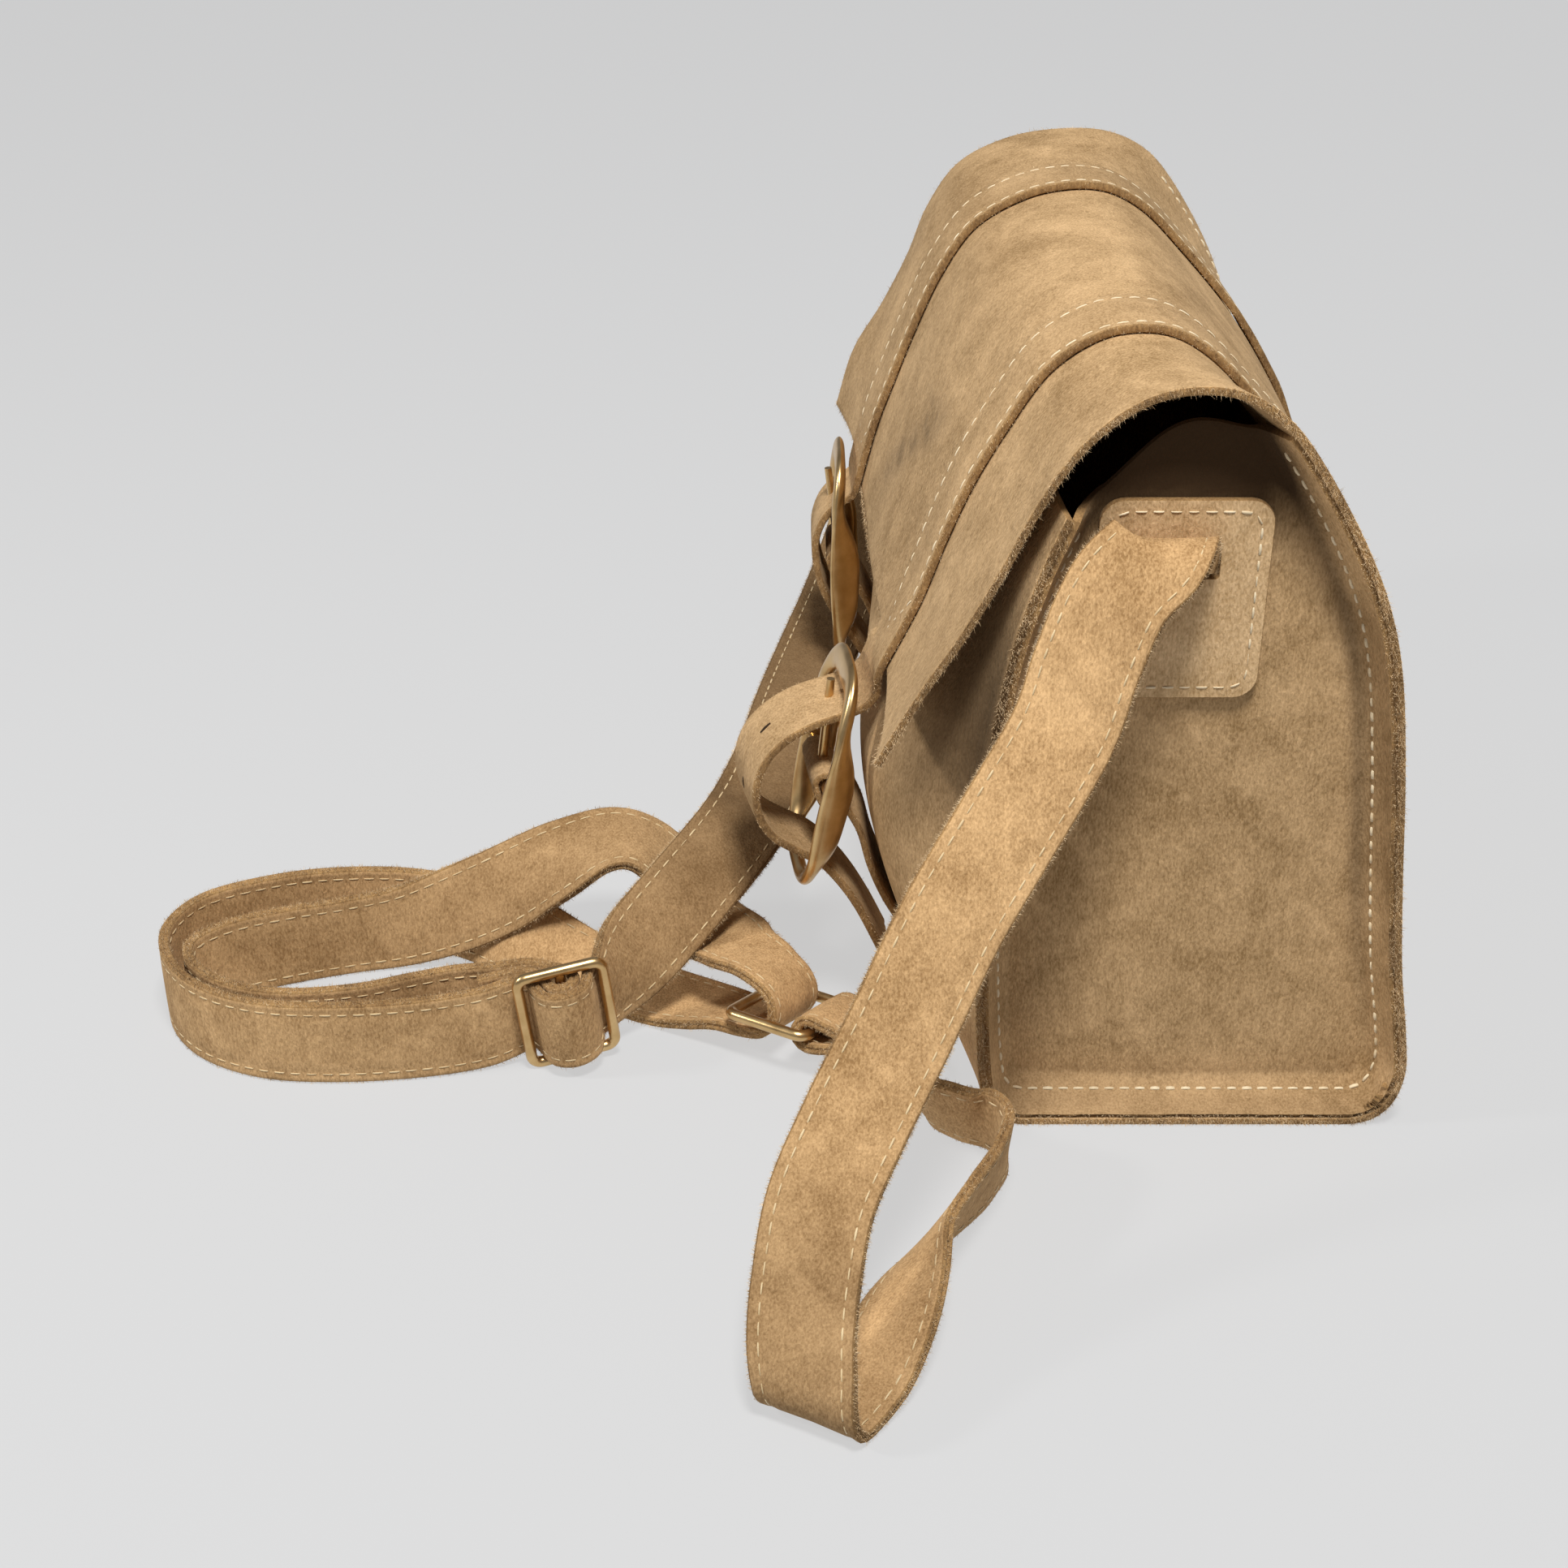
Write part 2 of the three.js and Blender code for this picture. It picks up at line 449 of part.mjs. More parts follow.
// Stations of a strap read smoothly from its table.
function stationsOf(rows, steps) {
  const count = (rows.length - 1) * steps;
  return Array.from({ length: count + 1 }, (_, i) => {
    const at = i / steps;
    const read = (names) => new THREE.Vector3(...names.map((n) => smooth(rows, n, at)));
    return { middle: read(['x', 'y', 'z']), across: read(['ex', 'ey', 'ez']) };
  });
}

function strapRow(middle, across) {
  return { x: middle.x, y: middle.y, z: middle.z, ex: across.x, ey: across.y, ez: across.z };
}

// Edges and middle of a closure band along the bag.
function bandPlaces(side) {
  return [-0.5, 0, 0.5].map((s) => side * CLOSURE_X + s * CLOSURE_WIDTH);
}

function bodyWrap() {
  const rows = (WRAP.length - 1) * WRAP_STEPS;
  const half = [...bandPlaces(1), 27, 105, 119, HALF_WIDTH].sort((a, b) => a - b);
  const places = [...half.map((x) => -x).reverse(), 0, ...half];
  const outer = [];
  const inner = [];
  for (let i = 0; i <= rows; i++) {
    const at = i / WRAP_STEPS;
    outer.push(places.map((x) => wrapPoint(at, x)));
    inner.push(places.map((x) => wrapPoint(at, x).addScaledVector(wrapOut(at, x), -SUEDE)));
  }
  return wall(outer, inner);
}

// Edge of a side panel's outer face, a little inside the body sheet.
function gussetEdge(row, side) {
  const inside = 2 * SUEDE + GAP;
  const out = wrapOut(row, side * HALF_WIDTH);
  const p = wrapPoint(row, side * HALF_WIDTH);
  const flat = Math.hypot(out.y, out.z);
  return new THREE.Vector2(p.y - inside * out.y / flat, p.z - inside * out.z / flat);
}

function gusset(side) {
  const edge = Array.from({ length: 161 }, (_, i) =>
    gussetEdge(GUSSET_FRONT_ROW + (GUSSET_BACK_ROW - GUSSET_FRONT_ROW) * i / 160, side));
  const toEdge = (p) => Math.min(...edge.map((e) => e.distanceTo(p)));
  const front = (t) => gussetEdge(FRONT_CORNER_ROW + (GUSSET_FRONT_ROW - FRONT_CORNER_ROW) * t, side);
  const back = (t) => gussetEdge(BACK_CORNER_ROW + (GUSSET_BACK_ROW - BACK_CORNER_ROW) * t, side);
  const bottom = (t) => gussetEdge(FRONT_CORNER_ROW + (BACK_CORNER_ROW - FRONT_CORNER_ROW) * t, side);
  const rise = (t) => new THREE.Vector2(0, GUSSET_RISE * Math.sin(Math.PI * t) ** 2);
  const top = (t) => front(1).lerp(back(1), t).add(rise(t));
  const columns = 14;
  const rows = 12;
  const point = (i, j) => {
    const p = 0.5 - 0.5 * Math.cos(Math.PI * j / columns);
    const q = 1 - Math.cos(0.5 * Math.PI * i / rows);
    const sides = front(q).multiplyScalar(1 - p).add(back(q).multiplyScalar(p));
    const ends = bottom(p).multiplyScalar(1 - q).add(top(p).multiplyScalar(q));
    const lower = front(0).lerp(back(0), p).multiplyScalar(1 - q);
    const corners = front(1).lerp(back(1), p).multiplyScalar(q).add(lower);
    return sides.add(ends).sub(corners);
  };
  const face = (p) => {
    const bend = Math.max(0, 1 - toEdge(p) / SEAM_BEND);
    return side * (HALF_WIDTH - GUSSET_INSET * (1 - bend * bend));
  };
  const outer = [];
  for (let i = 0; i <= rows; i++) {
    outer.push(Array.from({ length: columns + 1 }, (_, j) => {
      const p = point(i, j);
      return new THREE.Vector3(face(p), p.x, p.y);
    }));
  }
  const inner = outer.map((line, i) => line.map((p, j) => {
    const down = outer[Math.max(i - 1, 0)][j];
    const up = outer[Math.min(i + 1, rows)][j];
    const left = line[Math.max(j - 1, 0)];
    const right = line[Math.min(j + 1, columns)];
    const normal = right.clone().sub(left).cross(up.clone().sub(down)).normalize();
    return p.clone().addScaledVector(normal, -Math.sign(normal.x * side) * SUEDE);
  }));
  return wall(outer, inner);
}

function roundedRectangle(width, height, radius) {
  const shape = new THREE.Shape();
  const x = width / 2;
  const y = height / 2;
  shape.moveTo(-x + radius, -y);
  shape.lineTo(x - radius, -y);
  shape.absarc(x - radius, -y + radius, radius, -Math.PI / 2, 0);
  shape.lineTo(x, y - radius);
  shape.absarc(x - radius, y - radius, radius, 0, Math.PI / 2);
  shape.lineTo(-x + radius, y);
  shape.absarc(-x + radius, y - radius, radius, Math.PI / 2, Math.PI);
  shape.lineTo(-x, -y + radius);
  shape.absarc(-x + radius, -y + radius, radius, Math.PI, 1.5 * Math.PI);
  return shape;
}

function sidePatch(side) {
  const shape = roundedRectangle(PATCH_WIDTH, PATCH_HEIGHT, PATCH_RADIUS);
  const slit = roundedRectangle(SLIT_WIDTH, SLIT_HEIGHT, 1);
  const hole = new THREE.Path(slit.getPoints(4).map((p) =>
    new THREE.Vector2(p.x + SLIT_Y - PATCH_Y, p.y + SLIT_Z - PATCH_Z)));
  shape.holes.push(hole);
  const sheet = new THREE.ExtrudeGeometry(shape, { depth: SUEDE, bevelEnabled: false, curveSegments: 4 });
  const turn = new THREE.Matrix4().makeBasis(
    new THREE.Vector3(0, 1, 0), new THREE.Vector3(0, 0, 1), new THREE.Vector3(1, 0, 0));
  sheet.applyMatrix4(turn);
  const face = HALF_WIDTH - GUSSET_INSET + GAP;
  sheet.translate(side > 0 ? face : -face - SUEDE, PATCH_Y, PATCH_Z);
  return sheet;
}

// A place on a buckle: across along its bar, out of its flat toward the bag, and up.
function onBuckle(side, across, out, up) {
  const lean = THREE.MathUtils.degToRad(side > 0 ? FRAME_LEAN : 0);
  const turn = THREE.MathUtils.degToRad(side > 0 ? FRAME_TURN : 0);
  const middle = side > 0
    ? new THREE.Vector3(CLOSURE_X, FRAME_Y, FRAME_Z)
    : new THREE.Vector3(-CLOSURE_X, LEFT_Y, LEFT_Z);
  return new THREE.Vector3(across, out, up)
    .applyAxisAngle(new THREE.Vector3(1, 0, 0), -lean)
    .applyAxisAngle(new THREE.Vector3(0, 0, 1), turn)
    .add(middle);
}

// A row of a closure strap's free end.
function curlRow(side, { y, z, turn }) {
  const a = THREE.MathUtils.degToRad(turn);
  const reach = y - (side > 0 ? FRAME_Y : LEFT_Y);
  const across = new THREE.Vector3(Math.cos(a), Math.sin(a), 0);
  return strapRow(new THREE.Vector3(side * CLOSURE_X - reach * Math.sin(a), y, z), across);
}

// A closure strap: sewn flat along the back, the top and the flap, then free through the buckle.
function closureBand(side) {
  const outer = [];
  const inner = [];
  const lifted = (at, lift) => bandPlaces(side).map((x) =>
    wrapPoint(at, x).addScaledVector(wrapOut(at, x), lift));
  for (let at = BAND_FIRST_ROW; at <= BAND_LAST_ROW; at += 1 / WRAP_STEPS) {
    outer.push(lifted(at, GAP + CLOSURE_THICK));
    inner.push(lifted(at, GAP));
  }
  const rows = (side > 0 ? RIGHT_CURL : LEFT_CURL).map((row) => curlRow(side, row));
  const free = stripFaces(stationsOf(rows, 2), CLOSURE_FREE_WIDTH, CLOSURE_THICK, [-0.5, 0, 0.5]);
  return wall([...outer, ...free.outer], [...inner, ...free.inner]);
}

// Middle line of the prong, from its pivot to its tip on the frame's top.
function prongEnds(side) {
  return [onBuckle(side, 0, 0, 0), onBuckle(side, 0, -PRONG_STAND, PRONG_REACH)];
}

function rodBetween(from, to, radiusFrom, radiusTo) {
  const rod = new THREE.CylinderGeometry(radiusTo, radiusFrom, from.distanceTo(to), 12);
  const middle = from.clone().add(to).multiplyScalar(0.5);
  const turn = new THREE.Quaternion().setFromUnitVectors(
    new THREE.Vector3(0, 1, 0), to.clone().sub(from).normalize());
  rod.applyQuaternion(turn);
  rod.translate(middle.x, middle.y, middle.z);
  return rod;
}

function closureStrap(side) {
  const band = toManifold(closureBand(side));
  const [pivot, tip] = prongEnds(side);
  const hole = toManifold(rodBetween(pivot, tip, PRONG_RADIUS + 0.6, PRONG_RADIUS + 0.6));
  return fromManifold(band.subtract(hole));
}

function buckleChape(side) {
  const hand = side > 0 ? 'right' : 'left';
  const x = side * CLOSURE_X;
  const steps = 4;
  const level = new THREE.Vector3(1, 0, 0);
  const sewn = Array.from({ length: steps + 1 }, (_, i) => {
    const at = CHAPE_FOOT_ROW + (CHAPE_TOP_ROW[hand] - CHAPE_FOOT_ROW) * i / steps;
    const across = wrapPoint(at, x + CLOSURE_WIDTH / 2).sub(wrapPoint(at, x - CLOSURE_WIDTH / 2)).normalize();
    return strapRow(wrapPoint(at, x).addScaledVector(wrapOut(at, x), CHAPE_LIFT + SUEDE / 2), across);
  });
  const bar = onBuckle(side, 0, 0, 0);
  const barWay = onBuckle(side, 1, 0, 0).sub(bar);
  const reach = BAR_RADIUS + 2 * GAP + SUEDE / 2;
  const loop = [
    { y: reach, z: 0 }, { y: reach * 0.71, z: reach * 0.71 }, { y: 0, z: reach },
    { y: -reach * 0.71, z: reach * 0.71 }, { y: -reach, z: 0 },
    { y: -reach * 0.6, z: -4 }, { y: 0.6, z: -9 }, { y: 3.6, z: -14 },
  ].map(({ y, z }) => strapRow(new THREE.Vector3(x, bar.y + y, bar.z + z), barWay));
  const free = CHAPE_REACH[hand].map(({ y, z }) => strapRow(new THREE.Vector3(x, y, z), level));
  const tab = toManifold(strip(stationsOf([...sewn, ...free, ...loop], 3), CLOSURE_WIDTH - 1, SUEDE));
  const slot = new THREE.BoxGeometry(2 * PRONG_RADIUS + 1.2, 14, 2 * reach + 5);
  slot.translate(bar.x, bar.y, bar.z + 1);
  return fromManifold(tab.subtract(toManifold(slot)));
}

// Middle line of the frame: a squarish oval.
function frameLine(a) {
  const round = (v) => Math.sign(v) * Math.abs(v) ** (2 / FRAME_SQUARE);
  return new THREE.Vector2(FRAME_HALF_WIDTH * round(Math.cos(a)), FRAME_HALF_HEIGHT * round(Math.sin(a)));
}

function buckleFrame(side) {
  const around = 36;
  const ring = [...FRAME_SECTION, ...FRAME_SECTION.slice(0, 1).map((r) => ({ ...r, angle: 360 }))];
  const rowAt = (angle) => {
    const i = ring.findIndex((r, k) => k + 1 < ring.length && angle < ring[k + 1].angle);
    return i + (angle - ring[i].angle) / (ring[i + 1].angle - ring[i].angle);
  };
  const positions = [];
  const faces = [];
  const corners = 8;
  for (let i = 0; i < around; i++) {
    const angle = 360 * i / around;
    const a = THREE.MathUtils.degToRad(angle);
    const row = rowAt(angle);
    const wide = smooth(ring, 'wide', row);
    const thick = smooth(ring, 'thick', row);
    const twist = THREE.MathUtils.degToRad(smooth(ring, 'twist', row));
    const middle = frameLine(a);
    const step = frameLine(a + 0.02).sub(frameLine(a - 0.02));
    const radial = new THREE.Vector2(step.y, -step.x).normalize();
    const bow = FRAME_BOW * (1 - (middle.y / FRAME_HALF_HEIGHT) ** 2);
    for (let k = 0; k < corners; k++) {
      const c = 2 * Math.PI * k / corners;
      const u = wide * Math.cos(c);
      const v = thick * Math.sin(c);
      const out = u * Math.cos(twist) + v * Math.sin(twist);
      const back = wide * Math.sin(twist) - u * Math.sin(twist) + v * Math.cos(twist) - bow;
      const place = onBuckle(side, middle.x + radial.x * out, back, middle.y + radial.y * out);
      positions.push(place);
      const next = (i + 1) % around;
      const turn = (k + 1) % corners;
      faces.push([i * corners + k, next * corners + k, next * corners + turn]);
      faces.push([i * corners + k, next * corners + turn, i * corners + turn]);
    }
  }
  const frame = toManifold(outward(solidFrom(positions, faces)));
  const barEnds = [-FRAME_HALF_WIDTH, FRAME_HALF_WIDTH].map((across) => onBuckle(side, across, 0, 0));
  const rod = toManifold(rodBetween(...barEnds, BAR_RADIUS, BAR_RADIUS));
  return fromManifold(frame.add(rod));
}

function buckleProng(side) {
  const [pivot, tip] = prongEnds(side);
  const along = tip.clone().sub(pivot).normalize();
  const start = pivot.clone().addScaledVector(along, BAR_RADIUS + GAP + 0.7);
  const rod = toManifold(rodBetween(start, tip, PRONG_RADIUS, PRONG_RADIUS * 0.8));
  const eye = new THREE.Shape();
  eye.absarc(0, 0, BAR_RADIUS + GAP + 1.5, 0, 2 * Math.PI);
  const hole = new THREE.Path();
  hole.absarc(0, 0, BAR_RADIUS + GAP, 0, 2 * Math.PI);
  eye.holes.push(hole);
  const form = { depth: 2 * PRONG_RADIUS, bevelEnabled: false, curveSegments: 10 };
  const root = new THREE.ExtrudeGeometry(eye, form);
  root.rotateY(Math.PI / 2);
  root.translate(pivot.x - PRONG_RADIUS, pivot.y, pivot.z);
  const welded = mergeVertices(root.deleteAttribute('normal').deleteAttribute('uv'), 1e-4);
  return fromManifold(rod.add(toManifold(welded)));
}

// A closed rectangular wire loop with rounded corners, with or without a middle bar.
function wireLoop(middle, run, up, halfRun, halfUp, barred) {
  const radius = WIRE_CORNER;
  const corner = (a, b) => middle.clone().addScaledVector(run, a).addScaledVector(up, b);
  const turns = [[1, 1, 0], [-1, 1, 90], [-1, -1, 180], [1, -1, 270]];
  const path = turns.flatMap(([a, b, start]) => [0, 22.5, 45, 67.5, 90].map((d) => {
    const angle = THREE.MathUtils.degToRad(start + d);
    const along = a * (halfRun - radius) + radius * Math.cos(angle);
    return corner(along, b * (halfUp - radius) + radius * Math.sin(angle));
  }));
  const face = run.clone().cross(up).normalize();
  const sides = 8;
  const positions = [];
  const faces = [];
  path.forEach((p, i) => {
    const before = path[(i + path.length - 1) % path.length];
    const along = path[(i + 1) % path.length].clone().sub(before).normalize();
    const out = along.clone().cross(face);
    for (let k = 0; k < sides; k++) {
      const c = 2 * Math.PI * k / sides;
      const outward = p.clone().addScaledVector(out, WIRE * Math.cos(c));
      positions.push(outward.addScaledVector(face, WIRE * Math.sin(c)));
      const next = (i + 1) % path.length;
      const turn = (k + 1) % sides;
      faces.push([i * sides + k, next * sides + k, next * sides + turn]);
      faces.push([i * sides + k, next * sides + turn, i * sides + turn]);
    }
  });
  const loop = outward(solidFrom(positions, faces));
  if (!barred) {
    return loop;
  }
  const bar = rodBetween(corner(0, -halfUp), corner(0, halfUp), WIRE * 0.95, WIRE * 0.95);
  return fromManifold(toManifold(loop).add(toManifold(bar)));
}

const sliderUp = SLIDER_UP.clone().addScaledVector(SLIDER_RUN, -SLIDER_UP.dot(SLIDER_RUN)).normalize();
const sliderFace = SLIDER_RUN.clone().cross(sliderUp);
const ringRise = RING_SHORT.clone().cross(RING_LONG).normalize();
const ringMiddle = RING_CORNER.clone().addScaledVector(RING_LONG, RING_LENGTH / 2)
  .addScaledVector(RING_SHORT, RING_DEPTH / 2);
const ringFarBar = ringMiddle.clone().addScaledVector(RING_SHORT, RING_DEPTH / 2);

function onSlider({ run, rise }) {
  const p = SLIDER_MIDDLE.clone().addScaledVector(SLIDER_RUN, run).addScaledVector(sliderFace, rise);
  return strapRow(p, sliderUp.clone().negate());
}

function onRing({ run, rise }) {
  const p = ringFarBar.clone().addScaledVector(RING_SHORT, run).addScaledVector(ringRise, rise);
  return strapRow(p, RING_LONG.clone().negate());
}

const longRows = [
  ...LONG_STRAP_FALL, ...SLIDER_PASS.map(onSlider), ...LONG_STRAP_COIL, ...LONG_STRAP_END.map(onSlider),
];
const shortRows = [...SHORT_STRAP, ...SHORT_STRAP_END.map(onRing)];

const group = new THREE.Group();

function place(name, geometry, finish) {
  const mesh = new THREE.Mesh(geometry, new THREE.MeshStandardMaterial({ ...finish, name }));
  mesh.name = name;
  group.add(mesh);
}

place('body_wrap', bodyWrap(), SUEDE_TAN);
for (const [hand, side] of [['right', 1], ['left', -1]]) {
  place(`gusset_${hand}`, gusset(side), SUEDE_TAN);
  place(`side_patch_${hand}`, sidePatch(side), SUEDE_TAN);
  place(`closure_strap_${hand}`, closureStrap(side), SUEDE_TAN);
  place(`buckle_chape_${hand}`, buckleChape(side), SUEDE_TAN);
  place(`buckle_frame_${hand}`, buckleFrame(side), BRASS);
  place(`buckle_prong_${hand}`, buckleProng(side), BRASS);
}
place('shoulder_strap_short', strip(stationsOf(shortRows, 3), STRAP_WIDTH, STRAP_THICK), SUEDE_TAN);
place('shoulder_strap_long', strip(stationsOf(longRows, 3), STRAP_WIDTH, STRAP_THICK), SUEDE_TAN);
const slider = wireLoop(SLIDER_MIDDLE, SLIDER_RUN, sliderUp, SLIDER_HALF_RUN, SLIDER_HALF_TALL, true);
const ring = wireLoop(ringMiddle, RING_SHORT, RING_LONG, RING_DEPTH / 2, RING_LENGTH / 2, false);
place('strap_slider', slider, BRASS);
place('strap_ring', ring, BRASS);

export default group;
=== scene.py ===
# %% [markdown]
# A suede crossbody bag. The body is one long sheet of suede that is the front, the bottom, the back
# and the flap; two side panels are sewn into it with their edges turned outward. The tables below
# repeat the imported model's places and sizes, and each soft piece is made again here as the thin sheet
# that it is.

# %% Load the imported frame
import math

import bpy
import numpy as np
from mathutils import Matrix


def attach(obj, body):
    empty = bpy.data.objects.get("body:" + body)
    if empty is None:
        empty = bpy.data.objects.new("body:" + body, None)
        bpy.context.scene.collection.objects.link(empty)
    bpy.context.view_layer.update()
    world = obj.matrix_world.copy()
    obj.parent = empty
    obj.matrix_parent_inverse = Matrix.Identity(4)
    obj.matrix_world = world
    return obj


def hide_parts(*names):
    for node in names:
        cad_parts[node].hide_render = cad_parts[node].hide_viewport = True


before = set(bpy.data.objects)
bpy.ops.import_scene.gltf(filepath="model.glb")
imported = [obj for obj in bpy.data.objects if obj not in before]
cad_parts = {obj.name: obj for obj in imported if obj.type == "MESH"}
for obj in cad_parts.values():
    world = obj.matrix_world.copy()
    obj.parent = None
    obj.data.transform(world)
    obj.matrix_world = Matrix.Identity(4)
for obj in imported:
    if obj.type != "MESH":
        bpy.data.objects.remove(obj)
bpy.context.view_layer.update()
MM = 0.001  # all tables below are in millimetres
random = np.random.default_rng(7)
print("packed pieces:", len(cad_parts))

# %% [markdown]
# The camera stands a little above the bag, in line with its long side, and looks down by 30 degrees.
# The key light is high and a little on the camera's side, so the tops are bright, the side panel is
# half as bright and the flap shades the top of it; painted shade in the suede deepens both. A weaker
# light in front reaches the front panel below the flap and gives the brass its bright lines. The
# surroundings add only a little light.

# %% Camera and light
bpy.ops.object.select_all(action="DESELECT")
bpy.ops.object.camera_add(location=(0.625, -0.1122, 0.396), rotation=(math.radians(60), 0, math.radians(90)))
camera = bpy.context.object
camera.data.sensor_width = 36
camera.data.lens = 53.12
camera.data.clip_start = 0.01
bpy.context.scene.camera = camera
bpy.context.scene.view_settings.view_transform = "Standard"


def to_linear(hex_colour):
    """An sRGB hex colour as the linear numbers that a shader takes."""
    srgb = [int(hex_colour[i:i + 2], 16) / 255 for i in (1, 3, 5)]
    return [c / 12.92 if c <= 0.04045 else ((c + 0.055) / 1.055) ** 2.4 for c in srgb] + [1.0]


def soft_light(name, place, target, size, watts):
    bpy.ops.object.light_add(type="AREA", location=place)
    lamp = bpy.context.object
    lamp.name = name
    lamp.data.size = size
    lamp.data.energy = watts
    way = np.array(target) - np.array(place)
    tilt = math.atan2(math.hypot(way[0], way[1]), -way[2])
    lamp.rotation_euler = (tilt, 0, math.atan2(way[1], way[0]) - math.pi / 2)
    return lamp


soft_light("key", (0.58, -0.03, 1.30), (0.05, -0.09, 0.08), 0.25, 19.6)
soft_light("front", (0.25, -0.9, 0.62), (0.05, -0.1, 0.1), 0.12, 3.6)
world = bpy.data.worlds.new("studio")
bpy.context.scene.world = world
world.use_nodes = True
world.node_tree.nodes["Background"].inputs["Color"].default_value = to_linear("#F4F6FF")
world.node_tree.nodes["Background"].inputs["Strength"].default_value = 0.22
print("camera lens", camera.data.lens)


# %% [markdown]
# A material is a small graph of nodes. One function adds a node, sets its values and joins its
# inputs, so that a recipe can be read from top to bottom.

# %% Helpers for materials
def add_node(tree, kind, links=None, values=None, **settings):
    node = tree.nodes.new(kind)
    for key, value in settings.items():
        setattr(node, key, value)
    for key, value in (values or {}).items():
        node.inputs[key].default_value = value
    for key, socket in (links or {}).items():
        tree.links.new(socket, node.inputs[key])
    return node


def new_material(name, **values):
    made = bpy.data.materials.new(name)
    made.use_nodes = True
    shader = made.node_tree.nodes["Principled BSDF"]
    for key, value in values.items():
        shader.inputs[key.replace("_", " ")].default_value = value
    return made, made.node_tree, shader


FACTOR, COLOUR_A, COLOUR_B, MIXED = 0, 6, 7, 2  # sockets of a colour mix


# %% [markdown]
# Suede is the flesh side of split leather, brushed up to a nap of short fibres. It has no gloss and a
# faint sheen at grazing angles. Four sizes of noise give its look: slow patches where the nap lies
# another way, two mottles, and the nap itself, which is drawn coarser than real fibres so that it
# shows. A tone stored on the mesh mixes in a dark brown. It marks real scuffs and darkens the flap's
# front a little. It is also painted shade under the flap, on the side panels and along shaded runs of the
# straps.

# %% Suede
def suede(name, dark, light, contrast=1.0, scuff_and_shade="#3F2E1D"):
    made, tree, shader = new_material(name, Roughness=0.95, Sheen_Weight=0.1, Sheen_Roughness=0.5)
    shader.inputs["Specular IOR Level"].default_value = 0.12
    shader.inputs["Sheen Tint"].default_value = to_linear("#E8CFA8")
    place = add_node(tree, "ShaderNodeTexCoord").outputs["Object"]
    stretch = add_node(tree, "ShaderNodeVectorMath", {0: place}, {1: (1.0, 1.0, 0.45)}, operation="MULTIPLY")
    brushed = stretch.outputs[0]  # the nap's small grain is longer upright than across
    level = None
    heights = []
    for size, smear, share in ((40, 1.0, 1.15), (13, 0.5, 0.7), (2.6, 0.3, 0.6), (0.6, 0.3, 1.6)):
        noise = add_node(tree, "ShaderNodeTexNoise", {"Vector": brushed if size < 3 else place},
                         {"Scale": 1 / (size * MM), "Detail": 2.0, "Roughness": 0.6, "Distortion": smear})
        heights.append(noise.outputs["Fac"])
        part = add_node(tree, "ShaderNodeMath", {0: noise.outputs["Fac"]}, {1: 0.5},
                        operation="SUBTRACT").outputs[0]
        links = {0: part, 2: level} if level else {0: part}
        values = {1: share * contrast} if level else {1: share * contrast, 2: 0.5}
        level = add_node(tree, "ShaderNodeMath", links, values, operation="MULTIPLY_ADD").outputs[0]
    colour = add_node(tree, "ShaderNodeMix", {FACTOR: level},
                      {COLOUR_A: to_linear(dark), COLOUR_B: to_linear(light)},
                      data_type="RGBA").outputs[MIXED]
    # the tone mixes in a dark brown, for real scuffs and for painted shade, wherever a mesh carries it
    tone = add_node(tree, "ShaderNodeAttribute", attribute_name="tone").outputs["Fac"]
    colour = add_node(tree, "ShaderNodeMix", {FACTOR: tone, COLOUR_A: colour}, {COLOUR_B: to_linear(scuff_and_shade)},
                      data_type="RGBA").outputs[MIXED]
    tree.links.new(colour, shader.inputs["Base Color"])
    height = add_node(tree, "ShaderNodeMath", {0: heights[2], 2: heights[3]}, {1: 1.5},
                      operation="MULTIPLY_ADD").outputs[0]
    bump = add_node(tree, "ShaderNodeBump", {"Height": height}, {"Strength": 0.5, "Distance": 0.5 * MM})
    tree.links.new(bump.outputs["Normal"], shader.inputs["Normal"])
    return made


tan_suede = suede("suede_tan", "#8E7049", "#D2AE80")
# painted light: a lighter copy of the tan suede, so that the side patches look more brightly lit than the
# lamps make them
lit_patch_suede = suede("suede_tan_patch_painted_light", "#A38257", "#E3C194")
strap_suede = suede("suede_tan_strap", "#906E46", "#D4AD7C")
cut_edge = suede("suede_cut_edge", "#6A4E31", "#B48F5E", contrast=0.9)
fibre = suede("suede_loose_fibre", "#8A6C48", "#E6CBA2", contrast=1.4)

# %% [markdown]
# The thread is waxed cream linen. The buckles are antique brass: cast, tumbled and lacquered, so the
# gloss is satin, browner in patches, with fine scratches. The floor is plain matt paper, which
# glows evenly, so that it stays pale without a stronger lamp.

# %% Thread, brass and paper
def waxed_thread(name, dark, light):
    made, tree, shader = new_material(name, Roughness=0.55, Sheen_Weight=0.2)
    place = add_node(tree, "ShaderNodeTexCoord").outputs["Object"]
    soil = add_node(tree, "ShaderNodeTexNoise", {"Vector": place}, {"Scale": 1 / (9 * MM), "Detail": 2.0})
    cream = add_node(tree, "ShaderNodeMix", {FACTOR: soil.outputs["Fac"]},
                     {COLOUR_A: to_linear(dark), COLOUR_B: to_linear(light)}, data_type="RGBA")
    tree.links.new(cream.outputs[MIXED], shader.inputs["Base Color"])
    return made


thread = waxed_thread("thread_cream_waxed", "#BFA274", "#F3E6C6")
soiled_thread = waxed_thread("thread_cream_soiled", "#A98A5C", "#E2CC9F")

